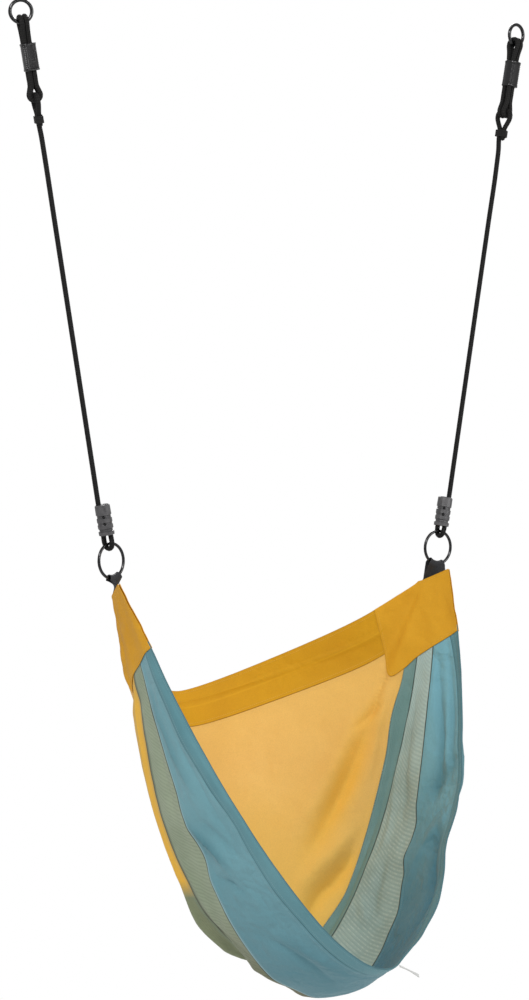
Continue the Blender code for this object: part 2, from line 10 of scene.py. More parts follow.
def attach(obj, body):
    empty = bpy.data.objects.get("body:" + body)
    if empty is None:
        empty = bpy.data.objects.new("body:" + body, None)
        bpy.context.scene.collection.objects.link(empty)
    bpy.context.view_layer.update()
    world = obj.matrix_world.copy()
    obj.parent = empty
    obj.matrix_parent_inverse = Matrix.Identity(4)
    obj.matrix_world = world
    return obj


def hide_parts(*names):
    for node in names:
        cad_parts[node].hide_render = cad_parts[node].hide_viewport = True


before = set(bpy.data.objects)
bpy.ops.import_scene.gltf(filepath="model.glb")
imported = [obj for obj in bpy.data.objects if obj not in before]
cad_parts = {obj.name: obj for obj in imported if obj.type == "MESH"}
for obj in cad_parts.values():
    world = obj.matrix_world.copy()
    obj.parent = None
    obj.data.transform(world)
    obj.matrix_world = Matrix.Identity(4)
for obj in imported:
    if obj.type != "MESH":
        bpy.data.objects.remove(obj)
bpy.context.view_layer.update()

# ---------------------------------------------------------------- dimensions shared with the CAD model
HANG_HALF_SPAN = 0.609
SEAT_RING_X, SEAT_RING_Z = 0.404, -1.058
HANG_RING_RADIUS, HANG_RING_WIRE = 0.0215, 0.0035
SEAT_RING_RADIUS, SEAT_RING_WIRE = 0.034, 0.003
ROPE_RADIUS, SLING_RADIUS = 0.005, 0.00475
SLING_TURN, SLING_SIDE, SLING_BUNDLE = 0.0118, 0.00495, 0.0064
SLING_FOOT, SLING_LENGTH = 0.0106, 0.1394
BIGHT_TURN = 0.0096
ADJUSTER_LENGTH, ADJUSTER_LIP = 0.054, 0.0024
KNOT_TOP, KNOT_LENGTH, EYE_END = 0.178, 0.018, 0.218
CLAMP_LENGTH, CLAMP_STRAND = 0.060, 0.007
CLAMP_YAW = math.radians(-36.0)
FABRIC, BAND_FABRIC = 0.0012, 0.0020
CAP_NEAR, CAP_FAR = 0.0016, 0.0024
WEBBING = 0.0011
WEBBING_SHARE = {"left": 0.72, "right": 0.76}
WEBBING_HALF = {"left": 0.0145, "right": 0.0180}
WEBBING_CLEAR, WEBBING_TAIL, TUCK = 0.0028, 0.09, 0.10
SEAM_GAP = 0.0005
# The next two were measured off this model and rounded, because no real length or cutting pattern is known.
CUTS = {                        # each piece of cloth laid flat: greatest width, length and area
    "band": (0.094, 0.926, 0.0825),
    "yellow_panel": (0.550, 1.474, 0.338),
    "tape": (0.055, 1.537, 0.0585),
    "netting": (0.134, 1.678, 0.164),
    "blue_panel": (0.184, 1.689, 0.224),
    "rim_hem": (0.043, 1.651, 0.0550),
    "cap": (0.338, 0.188, 0.0278),
}
SIDES = {"left": -1, "right": 1}
HANG_RING_YAW = {"left": math.radians(-18.0), "right": math.radians(10.0)}
SEAT_RING_YAW = {"left": math.radians(12.0), "right": math.radians(2.0)}
ADJUSTER_TOP = {"left": 0.040, "right": 0.034}
CLAMP_TOP = {"left": 0.944, "right": 0.951}

# Seams of the seat, right half, from the middle plane to the corner cap, as control points of one smooth
# curve each, mirrored for the left half.  The third is a guide line across the back panel, not a seam.
# A least-squares fit to the photo's seams and outline gave these points.  They were rounded to 5 mm, except
# at the cap, and the guide line and the middle of the fourth and fifth were then moved.
SEAMS = (
    ((0.000, 0.360, -1.360), (0.060, 0.360, -1.360), (0.165, 0.255, -1.290),
     (0.260, 0.145, -1.235), (0.306, 0.087, -1.188)),
    ((0.000, 0.310, -1.430), (0.065, 0.310, -1.430), (0.180, 0.225, -1.365),
     (0.280, 0.125, -1.325), (0.324, 0.074, -1.279)),
    ((0.000, 0.150, -1.685), (0.060, 0.150, -1.685), (0.170, 0.110, -1.590),
     (0.270, 0.065, -1.440), (0.318, 0.050, -1.322)),
    ((0.000, 0.004, -1.885), (0.105, 0.004, -1.885), (0.225, 0.050, -1.805),
     (0.280, 0.035, -1.555), (0.336, 0.025, -1.307)),
    ((0.000, -0.034, -1.900), (0.080, -0.034, -1.900), (0.215, -0.005, -1.770),
     (0.340, 0.040, -1.540), (0.350, 0.000, -1.283)),
    ((0.000, -0.160, -1.930), (0.165, -0.160, -1.930), (0.235, -0.115, -1.755),
     (0.305, -0.075, -1.535), (0.362, -0.040, -1.258)),
    ((0.000, -0.325, -1.865), (0.130, -0.325, -1.865), (0.280, -0.255, -1.600),
     (0.375, -0.125, -1.350), (0.376, -0.078, -1.235)),
    ((0.000, -0.357, -1.850), (0.115, -0.357, -1.850), (0.270, -0.280, -1.600),
     (0.345, -0.160, -1.360), (0.378, -0.100, -1.223)),
)
# Where the cloth has settled off its seams' even curves: the place along the seat and across it in seams,
# how far the effect reaches each way, then the shift along SIDEWAYS and upwards.  Chosen by trial against
# the photo's outline.
SIDEWAYS = np.array((0.809, -0.588, 0.0))
SETTLING = (
    (-0.86, 4.0, 0.36, 1.0, 0.016, 0.000),
    (-0.86, 2.6, 0.34, 1.2, -0.013, 0.000),
    (-0.42, 3.5, 0.14, 1.2, -0.010, -0.003),
    (-0.18, 3.4, 0.13, 1.2, 0.004, 0.011),
    (-0.13, 4.9, 0.10, 0.9, 0.004, 0.004),
    (-0.70, 5.0, 0.06, 0.8, -0.004, 0.000),
    (-0.61, 5.0, 0.07, 0.9, 0.009, 0.000),
    (-0.74, 6.0, 0.11, 0.9, -0.005, 0.000),
    (-0.55, 6.0, 0.09, 0.9, 0.006, 0.000),
    (-0.38, 6.0, 0.10, 0.9, -0.004, 0.000),
    (0.60, 6.6, 0.09, 1.6, 0.007, 0.000),
    (0.455, 6.5, 0.09, 1.9, -0.011, 0.000),
    (0.30, 6.8, 0.08, 1.2, 0.005, 0.000),
    (0.13, 6.8, 0.09, 1.2, -0.009, 0.000),
    (0.90, 3.0, 0.09, 0.9, -0.006, 0.000),
    (0.33, 3.0, 0.15, 0.9, -0.010, 0.000),
    (0.64, 5.0, 0.05, 0.8, 0.006, 0.000),
    (0.56, 5.0, 0.05, 0.8, -0.008, 0.000),
    (0.42, 5.0, 0.08, 0.8, 0.005, 0.000),
)
CAP_FADE = 0.06                 # share of the half span near each cap where nothing has settled
CORNER_BACK = np.array((0.380, 0.032, -1.130))
CORNER_FRONT = np.array((0.408, -0.032, -1.101))


# ---------------------------------------------------------------- node materials
class Shader:
    """A material under construction: short calls that add and link nodes."""

    def __init__(self, name, roughness=0.8, metallic=0.0, sheen=0.0, specular=0.5):
        self.mat = bpy.data.materials.new(name)
        self.mat.use_nodes = True
        self.tree = self.mat.node_tree
        self.main = self.tree.nodes["Principled BSDF"]
        self.main.inputs["Roughness"].default_value = roughness
        self.main.inputs["Metallic"].default_value = metallic
        self.main.inputs["Sheen Weight"].default_value = sheen
        self.main.inputs["Specular IOR Level"].default_value = specular

    def node(self, kind, inputs=(), **settings):
        made = self.tree.nodes.new("ShaderNode" + kind)
        for key, value in settings.items():
            setattr(made, key, value)
        for key, value in dict(inputs).items():
            if isinstance(value, bpy.types.NodeSocket):
                self.tree.links.new(value, made.inputs[key])
            else:
                made.inputs[key].default_value = value
        return made

    def link(self, source, key):
        self.tree.links.new(source, self.main.inputs[key])

    def math(self, operation, a, b=0.0, c=0.0):
        return self.node("Math", {0: a, 1: b, 2: c}, operation=operation).outputs[0]

    def attribute(self, name):
        return self.node("Attribute", attribute_name=name, attribute_type="GEOMETRY").outputs["Fac"]

    def noise(self, coords, scale, detail=3.0, rough=0.55):
        made = self.node("TexNoise", {"Vector": coords, "Scale": scale, "Detail": detail, "Roughness": rough})
        return made.outputs["Fac"]

    def ramp(self, fac, low, high):
        """fac from low to high, spread over 0 to 1 and clamped."""
        made = self.node("MapRange", {0: fac, 1: low, 2: high}, clamp=True)
        return made.outputs[0]

    def mix(self, fac, a, b, blend="MIX"):
        made = self.node("Mix", data_type="RGBA", blend_type=blend)
        for index, value in ((0, fac), (6, a), (7, b)):
            if isinstance(value, bpy.types.NodeSocket):
                self.tree.links.new(value, made.inputs[index])
            else:
                made.inputs[index].default_value = value
        return made.outputs[2]

    def stitches(self, along, edge, inset, pitch=0.0042, thick=0.0005):
        """1 on a row of stitches that runs a fixed distance in from the sewn edge."""
        line = self.ramp(self.math("ABSOLUTE", self.math("SUBTRACT", edge, inset)), thick, thick * 0.4)
        dash = self.ramp(self.math("SINE", self.math("MULTIPLY", along, 2.0 * math.pi / pitch)), -0.55, -0.25)
        return self.math("MULTIPLY", line, dash)

    def bump(self, height, distance, strength=1.0):
        made = self.node("Bump", {"Height": height, "Distance": distance, "Strength": strength})
        self.link(made.outputs[0], "Normal")
        return made


def rgb(red, green, blue):
    return (red, green, blue, 1.0)


def woven(name, colour, dark, light, pitch, roughness=0.75, sheen=0.15, through=0.0, ribs=0.0,
          seam=0.55, thread=None, reverse=None, crease_highlight_line=0.0, piping=None, painted_fold_shade=None, deep=0.75,
          heights=None, crumple=7.0):
    """Plain woven cloth.  along and across are metres on the cloth, edge is metres from its sewn edge,
    share goes from 0 to 1 across the piece and outside is 1 on the face away from the sitter."""
    made = Shader(name, roughness, sheen=sheen, specular=0.3)
    along, across, edge = (made.attribute(key) for key in ("along", "across", "edge"))
    share, outside = made.attribute("share"), made.attribute("outside")
    turn = 2.0 * math.pi / pitch
    warp = made.math("SINE", made.math("MULTIPLY", along, turn))
    weft = made.math("SINE", made.math("MULTIPLY", across, turn))
    weave = made.math("MULTIPLY", warp, weft)
    spot = made.node("TexCoord").outputs["Object"]
    cloud = made.noise(spot, 6.0, 4.0, 0.6)
    fibre = made.noise(spot, 420.0, 2.0, 0.7)
    stretched = made.node("CombineXYZ", {0: made.math("MULTIPLY", along, 16.0),
                                         1: made.math("MULTIPLY", across, 700.0)})
    streak = made.noise(stretched.outputs[0], 1.0, 2.0)
    tone = made.mix(made.ramp(cloud, 0.30, 0.70), dark, light)
    tone = made.mix(0.5, tone, colour)
    if reverse:
        low = made.ramp(made.node("SeparateXYZ", {0: spot}).outputs[2], -1.70, -1.735)
        behind = made.mix(low, reverse[0], reverse[1])
        tone = made.mix(made.ramp(outside, 0.4, 0.6), tone, behind)
    # Painted shade: the cloth is tinted towards a darker colour in the valleys of its folds, more the deeper
    # a point lies in a fold.
    if painted_fold_shade:
        fold = made.math("MULTIPLY", made.ramp(made.attribute("depth"), 0.03, 0.85), deep)
        tone = made.mix(fold, tone, painted_fold_shade)
    # Painted light and shade by height: the first colour is a lighter tone laid high up on the inside face.
    # The other two, for the inside and the outside face towards the bottom, are painted light where they are
    # lighter than the cloth and painted shade where they are darker.
    if heights:
        level = made.node("SeparateXYZ", {0: spot}).outputs[2]
        high = made.math("MULTIPLY", made.ramp(level, -1.54, -1.34), made.ramp(outside, 0.6, 0.4))
        tone = made.mix(made.math("MULTIPLY", high, 0.70), tone, heights[0])
        painted_bottom_tone = made.mix(made.ramp(outside, 0.4, 0.6), heights[1], heights[2])
        tone = made.mix(made.math("MULTIPLY", made.ramp(level, -1.50, -1.88), 0.85), tone, painted_bottom_tone)
    tone = made.mix(made.math("MULTIPLY", made.ramp(fibre, 0.35, 0.75), 0.10), tone, rgb(0, 0, 0))
    tone = made.mix(made.math("MULTIPLY", made.ramp(streak, 0.45, 0.80), 0.10), tone, light)
    # Painted highlight: a paler line along the cloth's middle crease, at this share across it.
    if crease_highlight_line:
        away = made.math("ABSOLUTE", made.math("SUBTRACT", share, crease_highlight_line))
        tone = made.mix(made.math("MULTIPLY", made.ramp(away, 0.030, 0.008), 0.45), tone, light)
    lap = made.math("MULTIPLY", made.ramp(edge, 0.0086, 0.0076), 0.12)
    tone = made.mix(lap, tone, dark)
    if piping:
        cord = made.math("MULTIPLY", made.ramp(across, 0.0050, 0.0038), made.ramp(outside, 0.4, 0.6))
        tone = made.mix(made.math("MULTIPLY", cord, 0.6), tone, piping)
    # Painted shade: the cloth is darkened in the narrow crease right at each sewn edge, as much as the seam
    # strength says.
    seam_shade = made.math("MULTIPLY", made.ramp(edge, 0.0014, 0.0002), seam)
    tone = made.mix(seam_shade, tone, [channel * 0.30 for channel in dark[:3]] + [1.0])
    run = made.stitches(along, edge, 0.0066)
    tone = made.mix(made.math("MULTIPLY", run, 0.8), tone, thread or light)
    worn = made.ramp(made.noise(spot, 60.0, 4.0, 0.7), 0.60, 0.72)
    worn = made.math("MULTIPLY", worn, made.ramp(edge, 0.012, 0.002))
    tone = made.mix(made.math("MULTIPLY", worn, 0.25), tone, light)
    made.link(tone, "Base Color")
    made.link(made.math("ADD", made.math("MULTIPLY", cloud, 0.16), roughness - 0.08), "Roughness")
    height = made.math("ADD", made.math("MULTIPLY", weave, 0.35), made.math("MULTIPLY", fibre, 0.8))
    if ribs:
        rib = made.math("SINE", made.math("MULTIPLY", across, 2.0 * math.pi / ribs))
        height = made.math("ADD", height, made.math("MULTIPLY", rib, 1.1))
    height = made.math("ADD", height, made.math("MULTIPLY", run, 2.2))
    stray = made.math("ABSOLUTE", made.math("SUBTRACT", made.noise(spot, 9.0, 3.0, 0.55), 0.5))
    creased = made.math("MULTIPLY", made.ramp(stray, 0.0, 0.09), made.ramp(cloud, 0.35, 0.60))
    height = made.math("ADD", height, made.math("MULTIPLY", creased, crumple))
    made.bump(height, 0.00022, 0.8)
    if through:
        glow = made.node("BsdfTranslucent", {"Color": tone})
        both = made.node("MixShader", {0: through, 1: made.main.outputs[0], 2: glow.outputs[0]})
        made.tree.links.new(both.outputs[0], made.tree.nodes["Material Output"].inputs["Surface"])
    return made.mat


def netting(name):
    """Ribbed mesh: heavier pale cross threads every 9 mm inside, a closer, smoother face outside."""
    made = Shader(name, 0.80, sheen=0.10, specular=0.25)
    along, across, edge = (made.attribute(key) for key in ("along", "across", "edge"))
    outside = made.ramp(made.attribute("outside"), 0.4, 0.6)
    spot = made.node("TexCoord").outputs["Object"]
    wander = made.math("MULTIPLY", made.noise(spot, 35.0, 2.0), 0.0024)
    run = made.math("ADD", along, wander)
    rib = made.math("SINE", made.math("MULTIPLY", run, 2.0 * math.pi / 0.0088))
    row = made.math("FLOOR", made.math("DIVIDE", run, 0.0044))
    shift = made.math("MULTIPLY", row, 0.00155)
    column = made.math("SINE", made.math("MULTIPLY", made.math("ADD", across, shift), 2.0 * math.pi / 0.0031))
    fine = made.math("SINE", made.math("MULTIPLY", run, 2.0 * math.pi / 0.0022))
    stretched = made.node("CombineXYZ", {0: made.math("MULTIPLY", row, 7.3),
                                         1: made.math("MULTIPLY", across, 130.0)})
    broken = made.ramp(made.noise(stretched.outputs[0], 1.0, 2.0), 0.42, 0.60)
    bright = made.math("MULTIPLY", made.ramp(rib, 0.10, 0.70), made.ramp(column, -0.45, 0.30))
    bright = made.math("MULTIPLY", bright, broken)
    cloud = made.noise(spot, 9.0, 3.0)
    inner = made.mix(made.ramp(cloud, 0.3, 0.7), rgb(0.245, 0.325, 0.290), rgb(0.325, 0.415, 0.370))
    inner = made.mix(made.math("MULTIPLY", bright, 0.36), inner, rgb(0.640, 0.690, 0.600))
    # Painted shade: the inside face is darkened in the valleys of its folds.
    inner = made.mix(made.math("MULTIPLY", made.ramp(made.attribute("depth"), 0.1, 0.9), 0.5), inner,
                     rgb(0.150, 0.205, 0.170))
    level = made.node("SeparateXYZ", {0: spot}).outputs[2]
    # Painted light: the inside face is lighter high up.
    high = made.math("MULTIPLY", made.ramp(level, -1.54, -1.34), 0.6)
    inner = made.mix(high, inner, rgb(0.440, 0.580, 0.560))
    # Painted shade: the outside face darkens to a dark olive towards the bottom.
    low = made.ramp(level, -1.74, -1.92)
    outer = made.mix(made.ramp(cloud, 0.3, 0.7), rgb(0.225, 0.275, 0.185), rgb(0.300, 0.350, 0.250))
    outer = made.mix(low, outer, rgb(0.098, 0.098, 0.040))
    outer = made.mix(made.math("MULTIPLY", bright, 0.06), outer, rgb(0.420, 0.460, 0.330))
    tone = made.mix(outside, inner, outer)
    hem = made.math("MULTIPLY", made.ramp(edge, 0.0030, 0.0008), 0.9)
    tone = made.mix(hem, tone, rgb(0.030, 0.036, 0.026))
    joined = made.math("MULTIPLY", made.ramp(across, 0.0110, 0.0040), outside)
    tone = made.mix(made.math("MULTIPLY", joined, 0.75), tone, rgb(0.060, 0.066, 0.040))
    made.link(tone, "Base Color")
    height = made.math("ADD", made.math("MULTIPLY", bright, 1.0), made.math("MULTIPLY", fine, 0.3))
    made.bump(height, 0.00032, 0.7)
    hole = made.math("MULTIPLY", made.ramp(rib, 0.0, -0.35), made.ramp(column, 0.10, 0.45))
    hole = made.math("MULTIPLY", hole, made.ramp(edge, 0.004, 0.006))
    hole = made.math("MULTIPLY", hole, 0.22)
    clear = made.node("BsdfTransparent")
    both = made.node("MixShader", {0: hole, 1: made.main.outputs[0], 2: clear.outputs[0]})
    made.tree.links.new(both.outputs[0], made.tree.nodes["Material Output"].inputs["Surface"])
    return made.mat


def braided(name, colour, highlight, pitch, turns, roughness=0.62):
    """Braided cord: along is metres along it, around goes from 0 to 1 round it."""
    made = Shader(name, roughness, sheen=0.02, specular=0.22)
    along, around = made.attribute("along"), made.attribute("around")
    lengthwise = made.math("MULTIPLY", along, 2.0 * math.pi / pitch)
    sideways = made.math("MULTIPLY", around, 2.0 * math.pi * turns)
    left = made.math("SINE", made.math("ADD", lengthwise, sideways))
    right = made.math("SINE", made.math("SUBTRACT", lengthwise, sideways))
    plait = made.math("MULTIPLY", left, right)
    spot = made.node("TexCoord").outputs["Object"]
    fuzz = made.noise(spot, 900.0, 2.0, 0.7)
    cloud = made.noise(spot, 30.0, 3.0)
    tone = made.mix(made.math("MULTIPLY", made.ramp(plait, 0.1, 0.9), 0.55), colour, highlight)
    tone = made.mix(made.math("MULTIPLY", made.ramp(fuzz, 0.5, 0.9), 0.25), tone, highlight)
    tone = made.mix(made.math("MULTIPLY", made.ramp(cloud, 0.55, 0.85), 0.30), tone, highlight)
    made.link(tone, "Base Color")
    made.link(made.math("SUBTRACT", roughness + 0.10, made.math("MULTIPLY", plait, 0.12)), "Roughness")
    made.bump(made.math("ADD", plait, made.math("MULTIPLY", fuzz, 0.6)), 0.0004, 0.9)
    return made.mat


def webbing_cloth(name):
    """Black strap: a close herringbone rib across it, with worn, paler edges."""
    made = Shader(name, 0.62, sheen=0.05, specular=0.35)
    along, across, edge = (made.attribute(key) for key in ("along", "across", "edge"))
    slant = made.math("ABSOLUTE", made.math("SINE", made.math("MULTIPLY", across, 2.0 * math.pi / 0.012)))
    run = made.math("ADD", along, made.math("MULTIPLY", slant, 0.003))
    rib = made.math("SINE", made.math("MULTIPLY", run, 2.0 * math.pi / 0.0022))
    spot = made.node("TexCoord").outputs["Object"]
    fuzz = made.noise(spot, 500.0, 2.0, 0.7)
    tone = made.mix(made.ramp(rib, -0.2, 0.9), rgb(0.010, 0.010, 0.011), rgb(0.030, 0.031, 0.036))
    worn = made.math("MULTIPLY", made.ramp(edge, 0.0022, 0.0003), made.ramp(fuzz, 0.40, 0.75))
    tone = made.mix(made.math("MULTIPLY", worn, 0.6), tone, rgb(0.085, 0.085, 0.092))
    made.link(tone, "Base Color")
    made.bump(made.math("ADD", rib, made.math("MULTIPLY", fuzz, 0.5)), 0.0003, 0.9)
    return made.mat


def coated_steel(name, colour=rgb(0.013, 0.013, 0.014), worn=rgb(0.40, 0.40, 0.41), roughness=0.16):
    """Black coated round bar: glossy, with rub marks that show paler metal on its proud places."""
    made = Shader(name, roughness, metallic=0.85, specular=0.5)
    spot = made.node("TexCoord").outputs["Object"]
    scuff = made.noise(spot, 260.0, 4.0, 0.7)
    cloud = made.noise(spot, 45.0, 3.0)
    rubbed = made.math("MULTIPLY", made.ramp(scuff, 0.58, 0.72), made.ramp(cloud, 0.50, 0.68))
    made.link(made.mix(made.math("MULTIPLY", rubbed, 0.55), colour, worn), "Base Color")
    made.link(made.math("ADD", made.math("MULTIPLY", scuff, 0.22), roughness - 0.06), "Roughness")
    made.bump(scuff, 0.00012, 0.5)
    made.main.inputs["Coat Weight"].default_value = 0.6
    made.main.inputs["Coat Roughness"].default_value = 0.10
    return made.mat


def moulded(name, colour, pale, roughness=0.5, grain=0.00012):
    """Moulded plastic: fine grain, slightly cloudy, paler on its proud edges, as patchy rub wear and as a
    painted highlight.
    """
    made = Shader(name, roughness, specular=0.5)
    spot = made.node("TexCoord").outputs["Object"]
    fine = made.noise(spot, 1400.0, 2.0, 0.6)
    cloud = made.noise(spot, 90.0, 4.0, 0.6)
    edges = made.node("NewGeometry").outputs["Pointiness"]
    tone = made.mix(made.ramp(cloud, 0.35, 0.70), colour, [0.85 * c + 0.15 * p for c, p in zip(colour, pale)])
    # Paler proud edges: patchy rub wear together with a painted highlight on ridges and rims.
    edge_wear_and_highlight = made.math("MULTIPLY", made.ramp(edges, 0.52, 0.60), made.ramp(cloud, 0.30, 0.60))
    tone = made.mix(made.math("MULTIPLY", edge_wear_and_highlight, 0.45), tone, pale)
    made.link(tone, "Base Color")
    made.link(made.math("ADD", made.math("MULTIPLY", cloud, 0.20), roughness - 0.10), "Roughness")
    made.bump(fine, grain, 0.7)
    return made.mat


# ---------------------------------------------------------------- mesh helpers
def add_piece(name, verts, faces, mat, body, attributes=(), sharp=55.0):
    data = bpy.data.meshes.new(name)
    data.from_pydata([tuple(v) for v in verts], [], [tuple(f) for f in faces])
    data.validate()
    for key, values in dict(attributes).items():
        layer = data.attributes.new(key, "FLOAT", "POINT")
        layer.data.foreach_set("value", np.asarray(values, dtype=np.float32))
    data.materials.append(mat)
    item = bpy.data.objects.new(name, data)
    bpy.context.collection.objects.link(item)
    data.shade_smooth()
    data.set_sharp_from_angle(angle=math.radians(sharp))
    if body:
        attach(item, body)
    return item


def grid_normals(points):
    along = np.gradient(points, axis=0)
    side = np.gradient(points, axis=1)
    normal = np.cross(along, side)
    return normal / np.linalg.norm(normal, axis=2, keepdims=True)


def arc_lengths(points, axis):
    steps = np.linalg.norm(np.diff(points, axis=axis), axis=2)
    pad = np.zeros_like(np.take(steps, [0], axis=axis))
    return np.concatenate((pad, np.cumsum(steps, axis=axis)), axis=axis)


def cloth_piece(name, points, near, far, mat, body="seat", roll=0.5, outer=1, depth=None):
    """A closed sheet over a grid of points, with rounded edges, between the offsets near and far.  outer
    says which of the two is its outside, and depth how deep in a fold each point lies."""
    rows, cols = points.shape[:2]
    normal = grid_normals(points)
    near = np.broadcast_to(near, (rows, cols))[..., None]
    far = np.broadcast_to(far, (rows, cols))[..., None]
    low, high = points + normal * near, points + normal * far
    index = np.arange(rows * cols).reshape(rows, cols)
    size = rows * cols
    quads = np.stack((index[:-1, :-1], index[1:, :-1], index[1:, 1:], index[:-1, 1:]), axis=-1).reshape(-1, 4)
    faces = [tuple(q[::-1]) for q in quads] + [tuple(q + size) for q in quads]
    loop = [(i, 0) for i in range(rows)] + [(rows - 1, j) for j in range(1, cols)]
    loop += [(i, cols - 1) for i in range(rows - 2, -1, -1)] + [(0, j) for j in range(cols - 2, 0, -1)]
    verts = np.concatenate((low.reshape(-1, 3), high.reshape(-1, 3)))
    across = arc_lengths(points, 1)
    along = arc_lengths(points, 0)
    along = along - along[rows // 2]
    edge = np.minimum(across, across[:, -1:] - across)
    middle = []
    for i, j in loop:
        inward_i = 1 if i == 0 else (-1 if i == rows - 1 else 0)
        inward_j = 1 if j == 0 else (-1 if j == cols - 1 else 0)
        out = np.zeros(3)
        if inward_i:
            step = points[i, j] - points[i + inward_i, j]
            out += step / np.linalg.norm(step)
        if inward_j:
            step = points[i, j] - points[i, j + inward_j]
            out += step / np.linalg.norm(step)
        out /= np.linalg.norm(out)
        half = np.linalg.norm(high[i, j] - low[i, j]) / 2
        middle.append((low[i, j] + high[i, j]) / 2 + out * half * roll)
    verts = np.concatenate((verts, np.array(middle)))
    for k in range(len(loop)):
        m = (k + 1) % len(loop)
        a, b = index[loop[k]], index[loop[m]]
        faces.append((a, b, 2 * size + m, 2 * size + k))
        faces.append((2 * size + k, 2 * size + m, b + size, a + size))
    share = across / across[:, -1:]
    depth = np.zeros_like(across) if depth is None else depth
    values = {}
    for key, field in (("along", along), ("across", across), ("edge", edge), ("share", share),
                       ("depth", depth)):
        flat = field.reshape(-1)
        rim = np.array([field[i, j] for i, j in loop])
        values[key] = np.concatenate((flat, flat, rim))
    inner_face = float(outer == 0)
    values["outside"] = np.concatenate((np.full(size, inner_face), np.full(size, 1.0 - inner_face),
                                        np.full(len(loop), 0.5)))
    return add_piece(name, verts, faces, mat, body, values)


def sweep_frames(path, cyclic):
    """Tangents and a twist-free pair of cross directions along a path."""
    path = np.asarray(path)
    if cyclic:
        tangent = np.roll(path, -1, axis=0) - np.roll(path, 1, axis=0)
    else:
        tangent = np.gradient(path, axis=0)
    tangent /= np.linalg.norm(tangent, axis=1, keepdims=True)
    first = np.cross(tangent[0], (0.0, 1.0, 0.0))
    first /= np.linalg.norm(first)
    sides = [first]
    for k in range(1, len(path)):
        side = sides[-1] - tangent[k] * np.dot(sides[-1], tangent[k])
        sides.append(side / np.linalg.norm(side))
    sides = np.array(sides)
    if cyclic:
        final = sides[-1] - tangent[0] * np.dot(sides[-1], tangent[0])
        final /= np.linalg.norm(final)
        twist = math.atan2(np.dot(np.cross(first, final), tangent[0]), np.dot(first, final))
        turns = -twist * np.arange(len(path)) / len(path)
        other = np.cross(tangent, sides)
        sides = sides * np.cos(turns)[:, None] + other * np.sin(turns)[:, None]
    return tangent, sides, np.cross(tangent, sides)


def evened(path, step, cyclic=False):
    """The same path with points a fixed step apart."""
    path = np.asarray(path)
    if cyclic:
        path = np.concatenate((path, path[:1]))
    reach = np.concatenate(([0.0], np.cumsum(np.linalg.norm(np.diff(path, axis=0), axis=1))))
    count = max(8, int(round(reach[-1] / step)))
    marks = np.linspace(0.0, reach[-1], count + 1)
    if cyclic:
        marks = marks[:-1]
    return np.stack([np.interp(marks, reach, path[:, k]) for k in range(3)], axis=1)


def tube(name, path, radius, mat, body, sides=20, cyclic=False, relief=0.0, pitch=0.009, turns=4,
         step=0.002):
    """A round cord with a plaited relief on its surface and rounded ends."""
    path = evened(path, step, cyclic)
    count = len(path)
    _, right, up = sweep_frames(path, cyclic)
    gone = np.arange(count) * step
    angle = 2.0 * np.pi * np.arange(sides) / sides
    if cyclic:
        pitch = count * step / max(1, round(count * step / pitch))
    lengthwise = (2.0 * np.pi * gone / pitch)[:, None]
    plait = np.sin(lengthwise + turns * angle[None, :]) * np.sin(lengthwise - turns * angle[None, :])
    size = radius + relief * plait
    if not cyclic:
        ends = np.minimum(gone, gone[-1] - gone)
        inward = 1.0 - np.clip(ends / radius, 0.0, 1.0)
        size = size * np.sqrt(np.clip(1.0 - inward ** 2, 0.04, 1.0))[:, None]
    ring = right[:, None, :] * np.cos(angle)[None, :, None] + up[:, None, :] * np.sin(angle)[None, :, None]
    verts = (path[:, None, :] + ring * size[..., None]).reshape(-1, 3)
    index = np.arange(count * sides).reshape(count, sides)
    nxt = np.roll(index, -1, axis=1)
    spans = range(count if cyclic else count - 1)
    faces = []
    for i in spans:
        k = (i + 1) % count
        faces += [tuple(q) for q in np.stack((index[i], nxt[i], nxt[k], index[k]), axis=-1)]
    if not cyclic:
        faces += [tuple(index[0][::-1]), tuple(index[-1])]
    values = {"along": np.repeat(gone, sides), "around": np.tile(np.arange(sides) / sides, count)}
    return add_piece(name, verts, faces, mat, body, values, sharp=75.0), path


def smooth_route(route, cyclic=False, bend=8.0, reach=0.012):
    """Points on one smooth curve through the route: closer together where it bends."""
    route = [Vector(point) for point in route]
    size = len(route)
    gaps = [(route[(i + 1) % size] - route[i]) for i in range(size if cyclic else size - 1)]
    slopes = []
    for i in range(size):
        before = gaps[i - 1] if i or cyclic else gaps[0]
        after = gaps[i % len(gaps)] if i < len(gaps) else gaps[-1]
        share = before.length / (before.length + after.length)
        slopes.append((before.normalized() * (1.0 - share) + after.normalized() * share))
    points = []
    for i, gap in enumerate(gaps):
        a, b = route[i], route[(i + 1) % size]
        out, into = slopes[i] * gap.length, slopes[(i + 1) % size] * gap.length
        turn = math.degrees(out.angle(gap) + gap.angle(into))
        steps = max(1, math.ceil(turn / bend), math.ceil(gap.length / reach))
        for k in range(steps):
            u = k / steps
            points.append(a * (2 * u ** 3 - 3 * u * u + 1) + b * (3 * u * u - 2 * u ** 3)
                          + out * (u ** 3 - 2 * u * u + u) + into * (u ** 3 - u * u))
    if not cyclic:
        points.append(route[-1])
    return points


# ---------------------------------------------------------------- camera, light and floor
def make_camera():
    turn = math.radians(36.0)
    forward = Vector((math.sin(turn), math.cos(turn), 0.0))
    right = Vector((math.cos(turn), -math.sin(turn), 0.0))
    data = bpy.data.cameras.new("camera")
    data.lens = 154.8
    data.sensor_width = 36.0
    camera = bpy.data.objects.new("camera", data)
    bpy.context.collection.objects.link(camera)
    camera.location = forward * -8.6 + Vector((0.0, 0.0, -0.5697))
    aim = forward - right * 0.00337 - Vector((0.0, 0.0, 0.0442))
    camera.rotation_mode = "QUATERNION"
    camera.rotation_quaternion = aim.to_track_quat("-Z", "Y")
    bpy.context.scene.camera = camera


